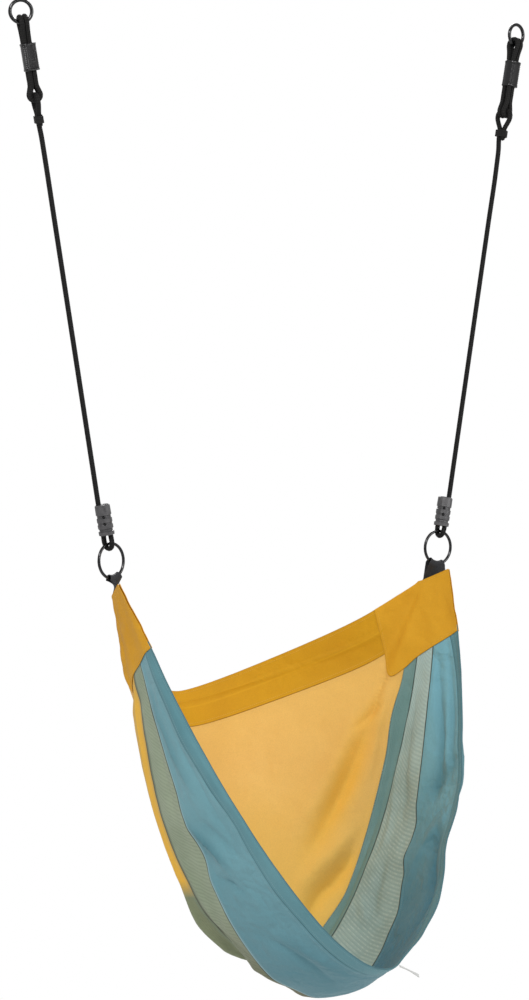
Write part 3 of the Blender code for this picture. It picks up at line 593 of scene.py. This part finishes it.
def area_light(name, location, target, width, height, power):
    data = bpy.data.lights.new(name, "AREA")
    data.shape = "RECTANGLE"
    data.size, data.size_y = width, height
    data.energy = power
    item = bpy.data.objects.new(name, data)
    bpy.context.collection.objects.link(item)
    item.location = location
    item.rotation_mode = "QUATERNION"
    item.rotation_quaternion = (Vector(target) - Vector(location)).to_track_quat("-Z", "Y")


def make_studio():
    scene = bpy.context.scene
    scene.view_settings.view_transform = "Standard"
    scene.view_settings.look = "None"
    world = bpy.data.worlds.new("studio")
    world.use_nodes = True
    tree = world.node_tree
    path = tree.nodes.new("ShaderNodeLightPath")
    level = tree.nodes.new("ShaderNodeMapRange")
    level.inputs["To Min"].default_value = 0.58
    level.inputs["To Max"].default_value = 1.0
    tree.links.new(path.outputs["Is Camera Ray"], level.inputs["Value"])
    tree.links.new(level.outputs[0], tree.nodes["Background"].inputs["Strength"])
    tree.nodes["Background"].inputs["Color"].default_value = rgb(1.0, 1.0, 1.0)
    scene.world = world
    area_light("key", (-3.9, -2.9, 2.3), (0.0, 0.0, -1.4), 1.5, 1.5, 190.0)
    area_light("fill", (2.6, -4.4, 0.2), (0.0, 0.0, -1.3), 1.4, 2.2, 80.0)
    area_light("rim", (2.4, 3.4, 1.6), (0.0, 0.0, -1.3), 1.6, 1.2, 70.0)
    area_light("strip", (-0.4, -4.6, 0.4), (0.0, 0.0, -0.6), 0.25, 1.8, 22.0)
    floor_mat = Shader("pale_floor", 0.9, specular=0.1)
    spot = floor_mat.node("TexCoord").outputs["Object"]
    tone = floor_mat.mix(floor_mat.noise(spot, 0.8, 3.0), rgb(0.84, 0.84, 0.835), rgb(0.88, 0.88, 0.88))
    floor_mat.link(tone, "Base Color")
    reach = 2.3
    spread = [2.0 * math.pi * k / 96 for k in range(96)]
    verts = [(reach * math.cos(a), reach * math.sin(a), -2.36) for a in spread]
    floor = add_piece("floor", verts, [tuple(range(96))], floor_mat.mat, None)


make_camera()
make_studio()

ROPE = braided("rope_cloth", rgb(0.0028, 0.0027, 0.0026), rgb(0.014, 0.0135, 0.013), 0.009, 4)
SLING = braided("sling_cloth", rgb(0.0040, 0.0038, 0.0036), rgb(0.022, 0.021, 0.020), 0.009, 4)
WHIPPING = braided("whipping_cord", rgb(0.0070, 0.0068, 0.0066), rgb(0.030, 0.028, 0.027), 0.004, 3)
STRAP = webbing_cloth("strap_cloth")
STEEL = coated_steel("ring_coating")
SCREW = coated_steel("screw_coating", rgb(0.010, 0.010, 0.011), rgb(0.12, 0.12, 0.13), 0.35)
GREY = moulded("clamp_plastic", rgb(0.040, 0.039, 0.041), rgb(0.130, 0.126, 0.130), 0.34)
BLACK = moulded("adjuster_plastic", rgb(0.0035, 0.0035, 0.0038), rgb(0.024, 0.024, 0.026), 0.24, 0.0002)
# YELLOW and BLUE take painted shade for their fold valleys and painted light and shade by height; GOLD takes
# a painted highlight along its middle crease.
YELLOW = woven("panel_cloth", rgb(0.900, 0.590, 0.170), rgb(0.875, 0.545, 0.130), rgb(0.930, 0.630, 0.215),
               0.0011, 0.72, 0.05, through=0.30, seam=0.15, thread=rgb(0.93, 0.66, 0.26),
               painted_fold_shade=rgb(0.990, 0.560, 0.030), deep=0.62,
               heights=(rgb(0.920, 0.600, 0.150), rgb(0.990, 0.690, 0.140), rgb(0.900, 0.580, 0.160)))
GOLD = woven("band_cloth", rgb(0.590, 0.280, 0.0015), rgb(0.540, 0.248, 0.0010), rgb(0.665, 0.345, 0.0080),
             0.0011, 0.74, 0.02, seam=0.30, thread=rgb(0.78, 0.46, 0.08), crease_highlight_line=0.5)
CAP = woven("cap_cloth", rgb(0.640, 0.305, 0.0080), rgb(0.585, 0.272, 0.0050), rgb(0.710, 0.370, 0.0200),
            0.0011, 0.74, 0.02, seam=0.30, thread=rgb(0.80, 0.48, 0.09))
TAPE = woven("tape_cloth", rgb(0.155, 0.275, 0.260), rgb(0.120, 0.230, 0.215), rgb(0.205, 0.325, 0.305),
             0.0011, 0.78, 0.05, ribs=0.0042, seam=0.45,
             reverse=(rgb(0.80, 0.45, 0.05), rgb(0.205, 0.230, 0.135)))
BLUE = woven("blue_cloth", rgb(0.170, 0.375, 0.425), rgb(0.125, 0.310, 0.360), rgb(0.220, 0.435, 0.485),
             0.0011, 0.68, 0.10, through=0.10, thread=rgb(0.30, 0.42, 0.44), piping=rgb(0.36, 0.52, 0.54),
             painted_fold_shade=rgb(0.060, 0.180, 0.215), 
             heights=(rgb(0.210, 0.470, 0.555), rgb(0.036, 0.140, 0.215), rgb(0.085, 0.215, 0.260)),
             crumple=22.0)
HEM = woven("hem_cloth", rgb(0.090, 0.228, 0.262), rgb(0.068, 0.190, 0.225), rgb(0.125, 0.275, 0.308),
            0.0011, 0.70, 0.10, thread=rgb(0.24, 0.38, 0.41))
NET = netting("mesh_cloth")
TAG = woven("tag_cloth", rgb(0.62, 0.62, 0.60), rgb(0.56, 0.56, 0.54), rgb(0.68, 0.68, 0.67),
            0.0008, 0.7, 0.1)


# ---------------------------------------------------------------- the two hanging chains
def chain_matrix(side):
    hanging = Vector((side * HANG_HALF_SPAN, 0.0, 0.0))
    seat_ring = Vector((side * SEAT_RING_X, 0.0, SEAT_RING_Z))
    along = (seat_ring - hanging).normalized()
    pivot = hanging + along * HANG_RING_RADIUS
    lean = math.atan2(abs(along.x), abs(along.z))
    matrix = Matrix.Translation(pivot) @ Matrix.Rotation(side * lean, 4, "Y")
    return matrix, pivot, (seat_ring - pivot).length


def hanging_ring_centre(label, pivot, length, side):
    seat_ring = Vector((side * SEAT_RING_X, 0.0, SEAT_RING_Z))
    along = (seat_ring - pivot) / length
    flat = Matrix.Rotation(HANG_RING_YAW[label], 3, "Z") @ Vector((1.0, 0.0, 0.0))
    inward = flat * along.dot(flat) + Vector((0.0, 0.0, along.z))
    return pivot - inward.normalized() * HANG_RING_RADIUS


def ring(name, node, matrix, major, minor, seam_turn, body):
    """A bent and welded round bar: a slight bead where its ends meet."""
    count, sides = 96, 20
    verts = []
    for i in range(count):
        angle = 2.0 * math.pi * i / count
        off = (angle - seam_turn + math.pi) % (2.0 * math.pi) - math.pi
        bead = 1.0 + 0.05 * math.exp(-(off * major / 0.0012) ** 2)
        for k in range(sides):
            turn = 2.0 * math.pi * k / sides
            reach = major + minor * bead * math.cos(turn)
            point = Vector((reach * math.cos(angle), minor * bead * math.sin(turn), reach * math.sin(angle)))
            verts.append(matrix @ point)
    faces = []
    for i in range(count):
        for k in range(sides):
            j, m = (i + 1) % count, (k + 1) % sides
            faces.append((i * sides + k, i * sides + m, j * sides + m, j * sides + k))
    item = add_piece(name, verts, faces, STEEL, body)
    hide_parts(node)


def sling_route(yaw):
    quarter = [(SLING_SIDE, 0.0, SLING_TURN)]
    for degrees in (30, 60, 90):
        turn = math.radians(degrees)
        quarter.append((SLING_SIDE, SLING_TURN * math.sin(turn), SLING_TURN * math.cos(turn)))
    quarter += [
        (SLING_SIDE, 0.0088, -0.014),
        (SLING_SIDE, SLING_BUNDLE, -0.030),
        (SLING_SIDE, SLING_BUNDLE, -0.055),
        (SLING_SIDE, SLING_BUNDLE, -0.082),
        (SLING_SIDE, SLING_BUNDLE, -0.107),
        (0.0051, 0.0064, -0.1225),
        (0.0083, 0.0060, -0.1325),
        (SLING_FOOT * 0.97, 0.0055, -SLING_LENGTH),
        (SLING_FOOT * 0.72, 0.0055, -SLING_LENGTH - SLING_FOOT * 0.72),
        (0.0, 0.0055, -SLING_LENGTH - SLING_FOOT),
    ]
    front = [(x, -y, z) for x, y, z in quarter]
    route = quarter + [(-x, y, z) for x, y, z in quarter[-2::-1]]
    route += [(-x, y, z) for x, y, z in front[1:]] + front[-2:0:-1]
    turn = Matrix.Rotation(yaw, 3, "Z")
    return [turn @ Vector(point) for point in route]


def rope_route(label, side, length):
    ring_top = length - SEAT_RING_RADIUS
    clamp_top = CLAMP_TOP[label]
    clamp_low = clamp_top + CLAMP_LENGTH
    across = Matrix.Rotation(CLAMP_YAW, 3, "Z") @ Vector((1.0, 0.0, 0.0))
    sling_turn = Matrix.Rotation(HANG_RING_YAW[label], 3, "Z")
    normal = Matrix.Rotation(SEAT_RING_YAW[label], 3, "Z") @ Vector((0.0, 1.0, 0.0))
    down = Vector((0.0, 0.0, -1.0))
    eye = [
        (-0.0053, -KNOT_TOP - KNOT_LENGTH - 0.006),
        (-0.0053, -KNOT_TOP - KNOT_LENGTH * 0.5),
        (-0.0060, -KNOT_TOP + 0.001),
        (-0.0118, -KNOT_TOP + 0.012),
        (-0.0166, -0.1545),
        (-0.0158, -0.1455),
        (-0.0105, -SLING_LENGTH - 0.0008),
        (0.0, -SLING_LENGTH),
        (0.0105, -SLING_LENGTH - 0.0008),
        (0.0158, -0.1455),
        (0.0166, -0.1545),
        (0.0118, -KNOT_TOP + 0.012),
        (0.0060, -KNOT_TOP + 0.001),
        (0.0053, -KNOT_TOP - KNOT_LENGTH * 0.5),
        (0.0050, -KNOT_TOP - KNOT_LENGTH),
        (0.0015, -EYE_END),
    ]
    route = [sling_turn @ Vector((0.0, y, z)) for y, z in eye]
    outer = side * across * CLAMP_STRAND
    straight = clamp_top - EYE_END
    for share in (0.05, 0.22, 0.40, 0.58, 0.76, 0.92, 1.0):
        route.append(outer * share + down * (EYE_END + straight * share))
    route += [outer + down * (clamp_low + past) for past in (-0.030, -0.010, 0.0, 0.0015)]
    for degrees in (90, 45, 0, -45, -90):
        turn = math.radians(degrees)
        off = -side * BIGHT_TURN * math.sin(turn)
        route.append(normal * off + down * (ring_top + BIGHT_TURN * math.cos(turn)))
    route += [-outer + down * (clamp_low + past) for past in (0.0015, 0.0, -0.010, -0.045)]
    return route


def oval(half_x, half_y, z, count, power):
    points = []
    for k in range(count):
        angle = 2.0 * math.pi * k / count
        cos, sin = math.cos(angle), math.sin(angle)
        points.append(Vector((math.copysign(abs(cos) ** (2.0 / power), cos) * half_x,
                              math.copysign(abs(sin) ** (2.0 / power), sin) * half_y, z)))
    return points


def adjuster(label, matrix):
    """A knurled sleeve round the four strands: crossed slanting ridges between two plain collars."""
    turn = matrix @ Matrix.Translation((0.0, 0.0, -ADJUSTER_TOP[label]))
    turn = turn @ Matrix.Rotation(HANG_RING_YAW[label], 4, "Z")
    half_x = SLING_SIDE + SLING_RADIUS + 0.0005
    half_y = SLING_BUNDLE + SLING_RADIUS + 0.0005
    around, rows = 96, 72
    verts, faces = [], []
    layers = []
    for i in range(rows + 1):
        share = i / rows
        z = -ADJUSTER_LENGTH * (0.003 + 0.986 * share)
        collar = min(share, 1.0 - share) * ADJUSTER_LENGTH
        layer = []
        for k in range(around):
            slope = 14.0 * math.pi * share
            twist = 10.0 * math.pi * k / around
            knurl = math.sin(slope + twist) * math.sin(slope - twist)
            wall = 0.0022 if collar < 0.004 else 0.0015 + 0.0007 * knurl
            wall *= min(1.0, 0.6 + collar / 0.002)
            layer.append(wall)
        lip = Vector((ADJUSTER_LIP, 0.0, 0.0))
        outline = [oval(half_x + w + ADJUSTER_LIP, half_y + w, z, around, 3.4)[k] + lip
                   for k, w in enumerate(layer)]
        layers.append(outline)
    inner = [oval(half_x, half_y, layer[0].z, around, 5.0) for layer in (layers[0], layers[-1])]
    everything = layers + inner[::-1]
    for outline in everything:
        verts += [turn @ point for point in outline]
    total = len(everything)
    for i in range(total):
        j = (i + 1) % total
        for k in range(around):
            m = (k + 1) % around
            faces.append((i * around + k, i * around + m, j * around + m, j * around + k))
    item = add_piece(label + "_adjuster_sleeve", verts, faces, BLACK,
                     label + "_adjuster", sharp=50.0)
    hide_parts(label + "_rope_adjuster")


def whipping(label, matrix):
    """Cord wound tightly round the two strands of the rope's eye."""
    turn = matrix @ Matrix.Translation((0.0, 0.0, -KNOT_TOP)) @ Matrix.Rotation(HANG_RING_YAW[label], 4, "Z")
    wound, thick = 5, 0.0017
    path = []
    for k in range(wound * 40 + 1):
        share = k / (wound * 40)
        outline = oval(0.0056 + thick, 0.0112 + thick, 0.0, 40, 2.4)[k % 40]
        path.append(turn @ Vector((outline.x, outline.y, -0.0022 - (KNOT_LENGTH - 0.0044) * share)))
    item, _ = tube(label + "_whipping_cord", path, thick, WHIPPING, label + "_rope_assembly",
                   sides=12, relief=0.0001, pitch=0.004, turns=3, step=0.0012)
    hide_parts(label + "_eye_whipping")


for label, side in SIDES.items():
    matrix, pivot, length = chain_matrix(side)
    assembly = label + "_rope_assembly"
    centre = hanging_ring_centre(label, pivot, length, side)
    ring(label + "_top_ring", label + "_hanging_ring",
         Matrix.Translation(centre) @ Matrix.Rotation(HANG_RING_YAW[label], 4, "Z"),
         HANG_RING_RADIUS, HANG_RING_WIRE, math.radians(60.0), "hanging_rings")
    ring(label + "_lower_ring", label + "_seat_ring",
         matrix @ Matrix.Translation((0.0, 0.0, -length)) @ Matrix.Rotation(SEAT_RING_YAW[label], 4, "Z"),
         SEAT_RING_RADIUS, SEAT_RING_WIRE, math.radians(170.0), label + "_ring")
    loop = [matrix @ point for point in smooth_route(sling_route(HANG_RING_YAW[label]), cyclic=True)]
    sling, _ = tube(label + "_sling", loop, SLING_RADIUS - 0.0001, SLING, assembly,
                    cyclic=True, relief=0.00022)
    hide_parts(label + "_sling_rope")
    line = [matrix @ point for point in smooth_route(rope_route(label, side, length))]
    cord, centreline = tube(label + "_long_rope", line, ROPE_RADIUS - 0.0001, ROPE, assembly,
                            relief=0.00022)
    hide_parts(label + "_rope")
    adjuster(label, matrix)
    whipping(label, matrix)
    for part in ("clamp_front", "clamp_back"):
        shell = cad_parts[label + "_" + part]
        shell.material_slots[0].material = GREY
    for number in (1, 2):
        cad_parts["%s_clamp_screw_%d" % (label, number)].material_slots[0].material = SCREW


# ---------------------------------------------------------------- the seat's surface
def bezier(points, t):
    """One smooth curve from its control points."""
    order = len(points) - 1
    value = 0.0
    for k, point in enumerate(points):
        weight = math.comb(order, k) * t ** k * (1.0 - t) ** (order - k)
        value = value + weight[..., None] * np.array(point)
    return value


def seam_line(index, t):
    line = bezier(SEAMS[index], np.abs(t))
    line[..., 0] *= np.where(t < 0, -1.0, 1.0)
    return line


def ease(value):
    value = np.clip(value, 0.0, 1.0)
    return value * value * (3.0 - 2.0 * value)


def settled(t, v):
    """How far the cloth lies off its seams' even curves."""
    v = np.asarray(v, dtype=float)
    shift = np.zeros((len(t), len(v), 3))
    for place, line, reach, spread, across, rise in SETTLING:
        share = ease(1.0 - np.abs(t - place) / reach)[:, None] * ease(1.0 - np.abs(v - line) / spread)[None]
        shift += share[..., None] * (SIDEWAYS * across + np.array((0.0, 0.0, rise)))
    return shift * ease((1.0 - np.abs(t)) / CAP_FADE)[:, None, None]


def seat_surface(t, v):
    """Points of the seat: t runs from the left cap at -1 to the right cap at 1, v counts seams."""
    lines = [seam_line(k, t) for k in range(len(SEAMS))]
    last = len(SEAMS) - 1
    columns = []
    for value in v:
        i = min(int(value), last - 1)
        u = value - i
        b, c = lines[i], lines[i + 1]
        a = lines[i - 1] if i else 2 * b - c
        d = lines[i + 2] if i + 2 <= last else 2 * c - b
        columns.append(0.5 * (2 * b + (c - a) * u + (2 * a - 5 * b + 4 * c - d) * u * u
                              + (3 * b - a - 3 * c + d) * u ** 3))
    return np.stack(columns, axis=1) + settled(t, v)


def cap_surface(side, u, v):
    """The corner cap: u runs from its short top edge down to its lower edge."""
    low = seat_surface(np.array([1.0]), v * (len(SEAMS) - 1))[0]
    top = CORNER_BACK + (CORNER_FRONT - CORNER_BACK) * v[:, None]
    points = top[None] * (1.0 - u)[:, None, None] + low[None] * u[:, None, None]
    return points * np.array((side, 1.0, 1.0))


def surface_spot(t, v):
    return seat_surface(np.array([t]), [v])[0, 0]


# Folds in the cloth: the line each runs along, as places (t, v) on the seat, then its width and
# height in metres and how much of it is a sharp pinch rather than a soft roll.  A helper script turned
# places on the photo's folds into many of these (t, v), and the rest were chosen by eye.
FOLDS = (
    # the yellow back panel, on its right
    (((0.57, 2.92), (0.46, 2.76), (0.36, 2.70), (0.28, 2.74)), 0.0170, 0.0125, 0.4),
    (((0.62, 2.72), (0.50, 2.55), (0.38, 2.48), (0.28, 2.50)), 0.0200, -0.0110, 0.1),
    (((0.86, 1.99), (0.73, 2.14), (0.62, 2.25), (0.52, 2.29), (0.38, 2.34)), 0.0220, 0.0135, 0.3),
    (((0.84, 1.80), (0.70, 1.90), (0.55, 2.02), (0.42, 2.10)), 0.0260, -0.0090, 0.1),
    (((0.90, 2.12), (0.82, 1.94), (0.75, 1.84)), 0.0085, 0.0070, 0.6),
    (((0.97, 1.66), (0.92, 1.81), (0.82, 2.02)), 0.0100, 0.0060, 0.5),
    (((0.95, 2.30), (0.86, 2.45), (0.74, 2.62)), 0.0120, -0.0060, 0.3),
    # the same panel, in the middle and on its left
    (((0.20, 2.90), (0.05, 2.70), (-0.12, 2.66)), 0.0200, 0.0080, 0.4),
    (((0.18, 1.50), (0.05, 2.00), (-0.02, 2.50)), 0.0500, -0.0060, 0.0),
    (((-0.42, 2.90), (-0.50, 2.45), (-0.66, 2.05), (-0.84, 1.85)), 0.0180, 0.0100, 0.4),
    (((-0.25, 2.80), (-0.36, 2.40), (-0.50, 2.05)), 0.0260, -0.0080, 0.1),
    (((-0.95, 1.80), (-0.84, 2.10), (-0.76, 2.45)), 0.0120, 0.0060, 0.5),
    # the mesh, inside on the right
    (((0.94, 3.50), (0.86, 3.90), (0.79, 4.04), (0.72, 4.16), (0.62, 4.30), (0.54, 4.20)),
     0.0085, -0.0060, 0.4),
    (((0.90, 4.30), (0.78, 4.45), (0.66, 4.62)), 0.0090, 0.0050, 0.4),
    (((0.56, 4.52), (0.48, 4.49), (0.38, 4.58)), 0.0090, 0.0075, 0.6),
    (((0.46, 4.10), (0.40, 4.40), (0.37, 4.80)), 0.0100, -0.0060, 0.4),
    # the blue panel, inside on the right
    (((0.99, 5.15), (0.87, 5.40), (0.75, 5.51), (0.65, 5.42)), 0.0120, 0.0110, 0.5),
    (((0.84, 5.62), (0.74, 5.66), (0.62, 5.64)), 0.0090, -0.0070, 0.3),
    (((0.97, 5.78), (0.82, 5.79), (0.66, 5.81)), 0.0090, 0.0075, 0.5),
    (((0.56, 5.62), (0.44, 5.71), (0.34, 5.80), (0.26, 5.66)), 0.0200, 0.0110, 0.4),
    (((0.50, 5.00), (0.54, 5.50), (0.56, 6.60)), 0.0180, -0.0110, 0.3),
    (((0.68, 5.20), (0.66, 5.70), (0.66, 6.60)), 0.0220, 0.0070, 0.1),
    # the blue panel and the mesh, outside on the left
    (((-0.68, 5.02), (-0.62, 5.22), (-0.57, 5.38), (-0.52, 5.46)), 0.0100, 0.0110, 0.5),
    (((-0.64, 5.38), (-0.58, 5.54), (-0.52, 5.66)), 0.0110, -0.0080, 0.4),
    (((-0.54, 5.18), (-0.50, 5.36), (-0.44, 5.52)), 0.0090, -0.0080, 0.5),
    (((-0.34, 5.40), (-0.26, 5.54), (-0.18, 5.60), (-0.10, 5.56)), 0.0110, -0.0090, 0.6),
    (((-0.30, 5.62), (-0.20, 5.74), (-0.10, 5.76)), 0.0140, 0.0070, 0.3),
    (((-0.88, 6.00), (-0.75, 5.86), (-0.62, 5.76), (-0.50, 5.74)), 0.0150, -0.0065, 0.4),
    (((-0.94, 5.30), (-0.80, 5.42), (-0.68, 5.56)), 0.0120, 0.0060, 0.4),
    (((-0.93, 4.78), (-0.83, 4.76), (-0.75, 4.72), (-0.64, 4.70)), 0.0110, -0.0050, 0.4),
    (((-0.60, 4.20), (-0.50, 4.46), (-0.40, 4.50)), 0.0130, 0.0090, 0.3),
    (((-0.44, 3.60), (-0.38, 4.10), (-0.34, 4.80)), 0.0120, -0.0080, 0.4),
    (((-0.31, 3.40), (-0.28, 4.10), (-0.26, 4.90)), 0.0130, 0.0080, 0.4),
    (((-0.20, 3.60), (-0.19, 4.20), (-0.16, 4.90)), 0.0130, -0.0070, 0.4),
    (((-0.09, 3.60), (-0.07, 4.30), (-0.06, 4.90)), 0.0140, 0.0060, 0.4),
    (((0.12, 4.00), (0.14, 4.50), (0.10, 5.40)), 0.0180, 0.0070, 0.3),
)


def fold_relief(points):
    """How far the folds push each point along the cloth's normal, and how deep in a fold it lies."""
    flat = points.reshape(-1, 3)
    push = np.zeros(len(flat))
    depth = np.zeros(len(flat))
    for places, width, height, pinch in FOLDS:
        spots = np.array([surface_spot(*place) for place in places])
        path = evened(np.array(smooth_route(spots, reach=0.01)), 0.008)
        reach = np.linspace(0.0, 1.0, len(path))
        near = np.where(np.linalg.norm(flat - path.mean(axis=0), axis=1)
                        < np.linalg.norm(path - path.mean(axis=0), axis=1).max() + 4 * width)[0]
        gaps = np.linalg.norm(flat[near, None, :] - path[None], axis=2)
        best = gaps.argmin(axis=1)
        away = gaps[np.arange(len(near)), best] / width
        taper = np.sin(np.pi * np.clip(reach[best] * 0.9 + 0.05, 0.0, 1.0)) ** 0.7
        shape = (1.0 - pinch) * np.exp(-away ** 2) + pinch * np.exp(-1.6 * away)
        push[near] += height * taper * shape
        depth[near] += taper * max(height, 0.0) / 0.012 * np.exp(-(0.8 * away) ** 2)
    return push.reshape(points.shape[:2]), np.clip(depth, 0.0, 1.0).reshape(points.shape[:2])


def ripple(points, scale, height, seed):
    flat = points.reshape(-1, 3)
    shift = Vector((seed * 3.7, seed * 1.9, seed * 5.3))
    values = [noise.noise(Vector(point) * scale + shift) for point in flat]
    return (np.array(values) * height).reshape(points.shape[:2])


ALONG = 300


def strip_rows(first, last, across):
    """The fine grid of one panel, its ends tucked under the caps, with folds and a raised seam lap."""
    v = np.linspace(first, last, across + 1)
    t = np.sin(np.linspace(-0.5, 0.5, ALONG + 1) * math.pi * 0.92) / math.sin(0.46 * math.pi)
    body = seat_surface(t, v)
    heights = np.array([1.0 - TUCK, 1.0 - TUCK * 0.5])
    tucks = [cap_surface(side, heights, v / (len(SEAMS) - 1)) for side in (-1, 1)]
    points = np.concatenate((tucks[0], body, tucks[1][::-1]))
    return points


def dressed(points, seed, free_first=False, free_last=False, ripples=1.0):
    """Folds and fine unevenness, fading to nothing at sewn edges and under the caps."""
    across = arc_lengths(points, 1)
    width = across[:, -1:]
    near_first = np.clip(across / 0.030, 0.0, 1.0)
    near_last = np.clip((width - across) / 0.030, 0.0, 1.0)
    hold = np.minimum(near_first if not free_first else 1.0, near_last if not free_last else 1.0)
    hold = 0.35 + 0.65 * hold * hold * (3.0 - 2.0 * hold)
    rows = points.shape[0]
    ends = np.minimum(np.arange(rows), rows - 1 - np.arange(rows))
    ends = np.clip((ends - 2) / 12.0, 0.0, 1.0)[:, None]
    folds, depth = fold_relief(points)
    push = folds + ripple(points, 11.0, 0.0035 * ripples, 1.0)
    push += ripple(points, 34.0, 0.0012 * ripples, 2.0) + ripple(points, 90.0, 0.00035 * ripples, seed)
    return points + grid_normals(points) * (push * hold * ends)[..., None], depth * ends


def pulled_in(points, gap=SEAM_GAP):
    points = points.copy()
    for edge, inner in ((0, 1), (-1, -2)):
        step = points[:, inner] - points[:, edge]
        points[:, edge] += step / np.linalg.norm(step, axis=1, keepdims=True) * gap
    return points


def make_panels(label_piece):
    table = (
        ("band", "back_band", 0, 1, 16, BAND_FABRIC, GOLD, "dark_yellow_fabric", 0.4),
        ("yellow_panel", "back_panel", 1, 3, 84, FABRIC, YELLOW, "light_yellow_fabric", 1.0),
        ("tape", "side_tape", 3, 4, 8, FABRIC, TAPE, "tape_fabric", 0.8),
        ("netting", "mesh_panel", 4, 5, 20, FABRIC, NET, "mesh_fabric", 1.7),
        ("blue_panel", "front_panel", 5, 6, 34, FABRIC, BLUE, "blue_fabric", 1.0),
        ("rim_hem", "front_hem", 6, 7, 10, BAND_FABRIC, HEM, "blue_fabric", 0.4),
    )
    for number, (name, node, first, last, across, thickness, mat, slot, ripples) in enumerate(table):
        points, depth = dressed(strip_rows(first, last, across), 3.0 + number, first == 0, last == 7, ripples)
        points = pulled_in(points)
        if name == "band":
            share = np.linspace(0.0, 1.0, across + 1)[None]
            groove = -0.0024 * np.exp(-((share - 0.5) / 0.035) ** 2)
            points = points + grid_normals(points) * groove[..., None]
        width = arc_lengths(points, 1)
        edge = np.minimum(width, width[:, -1:] - width)
        lap = 0.00035 * np.clip((0.0085 - edge) / 0.0012, 0.0, 1.0)
        piece = cloth_piece(name, points, -thickness / 2 - lap, thickness / 2 + lap, mat, depth=depth)
        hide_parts(node)
        width, length, area = CUTS[name]


def make_caps():
    """Each corner cap is two trapezoids of cloth, one outside and one inside, with a turned hem."""
    for label, side in SIDES.items():
        u = np.linspace(0.0, 1.0, 41)
        v = np.linspace(0.0, 1.0, 61)
        points = cap_surface(side, u, v)
        low = np.clip((1.0 - u) / 0.25, 0.0, 1.0)[:, None] * np.clip(u / 0.2, 0.0, 1.0)[:, None]
        push = (ripple(points, 22.0, 0.0032, 4.0) + ripple(points, 60.0, 0.0010, 5.0)) * low
        points = points + grid_normals(points) * push[..., None]
        turned = points.transpose(1, 0, 2)
        rim = arc_lengths(points, 0)
        rim = np.minimum(rim, rim[-1:] - rim).T
        lap = 0.0003 * np.clip((0.0085 - rim) / 0.0012, 0.0, 1.0)
        for part, sign in (("outer", 1.0), ("inner", -1.0)):
            face = -sign * side
            near, far = sorted((face * CAP_NEAR, face * CAP_FAR))
            grow = lap if face > 0 else 0.0
            sink = lap if face < 0 else 0.0
            item = cloth_piece("%s_cap_%s" % (label, part), turned, near - sink, far + grow, CAP,
                               outer=1 if part == "outer" else 0)
            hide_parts("%s_corner_cap_%s" % (label, part))


def cap_normal(side, u, v):
    step = 0.01
    low, high = cap_surface(side, np.array([u - step, u + step]), np.array([v]))[:, 0]
    back, front = cap_surface(side, np.array([u]), np.array([v - step, v + step]))[0]
    normal = np.cross(front - back, high - low)
    return normal / np.linalg.norm(normal)


def strap(label, side):
    """The webbing folded over the seat ring's lower wire, its tails between the cap's two layers."""
    matrix, _, length = chain_matrix(side)
    lower = matrix @ Matrix.Translation((0.0, 0.0, -length)) @ Matrix.Rotation(SEAT_RING_YAW[label], 4, "Z")
    turn_radius = SEAT_RING_WIRE + WEBBING_CLEAR + WEBBING / 2
    half_gap = WEBBING / 2 + 0.0001
    shares = np.linspace(-1.0, 1.0, 17)

    def ring_row(degrees, below=0.0):
        turn = math.radians(degrees)
        row = []
        for share in shares:
            beta = math.asin(share * WEBBING_HALF[label] / SEAT_RING_RADIUS)
            local = Vector((side * math.sin(beta), 0.0, -math.cos(beta)))
            local *= SEAT_RING_RADIUS + below - turn_radius * math.cos(turn)
            local.y = turn_radius * math.sin(turn)
            row.append(lower @ local)
        return np.array(row)

    def edge_row(u, face):
        places = [0.5 + WEBBING_SHARE[label] * share / 2 for share in shares]
        return np.array([cap_surface(side, np.array([u]), np.array([v]))[0, 0]
                         + cap_normal(side, u, v) * (face * half_gap) for v in places])

    facing = 1.0 if cap_normal(side, 0.0, 0.5)[1] < 0 else -1.0
    rows = [edge_row(u, facing) for u in (WEBBING_TAIL, 0.06, 0.03, -0.01)]
    legs = [k / 14 for k in range(1, 14)]
    rows += [rows[-1] + (ring_row(-90, 0.005) - rows[-1]) * (k * k * (3.0 - 2.0 * k)) for k in legs]
    rows += [ring_row(degrees) for degrees in range(-90, 91, 10)]
    edge = edge_row(-0.01, -facing)
    rows += [edge + (ring_row(90, 0.005) - edge) * (k * k * (3.0 - 2.0 * k)) for k in legs[::-1]]
    rows += [edge_row(u, -facing) for u in (-0.01, 0.03, 0.06, WEBBING_TAIL)]
    item = cloth_piece(label + "_strap", np.stack(rows), -WEBBING / 2, WEBBING / 2, STRAP)
    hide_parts(label + "_webbing_loop")


def tag():
    """The blank care label, sewn into the front hem."""
    root = surface_spot(0.06, len(SEAMS) - 1)
    outward = np.array((0.752, -0.547, -0.380)) / np.linalg.norm((0.752, -0.547, -0.380))
    along = np.array((0.588, 0.809, 0.0))
    along = along - outward * along.dot(outward)
    along /= np.linalg.norm(along)
    share = np.linspace(0.0, 1.0, 25)[:, None, None]
    wide = np.linspace(-1.0, 1.0, 13)[None, :, None]
    curl = 0.0012 * np.sin(share * 5.0) * wide
    points = root + outward * (0.0045 + 0.041 * share) + along * (0.011 * wide)
    points = points - np.array((0.0, 0.0, 1.0)) * (0.004 * share ** 2 + curl * share)
    item = cloth_piece("tag", points, -0.0004, 0.0004, TAG)
    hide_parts("care_label")
    return item


make_caps()
for label, side in SIDES.items():
    strap(label, side)
make_panels(tag())
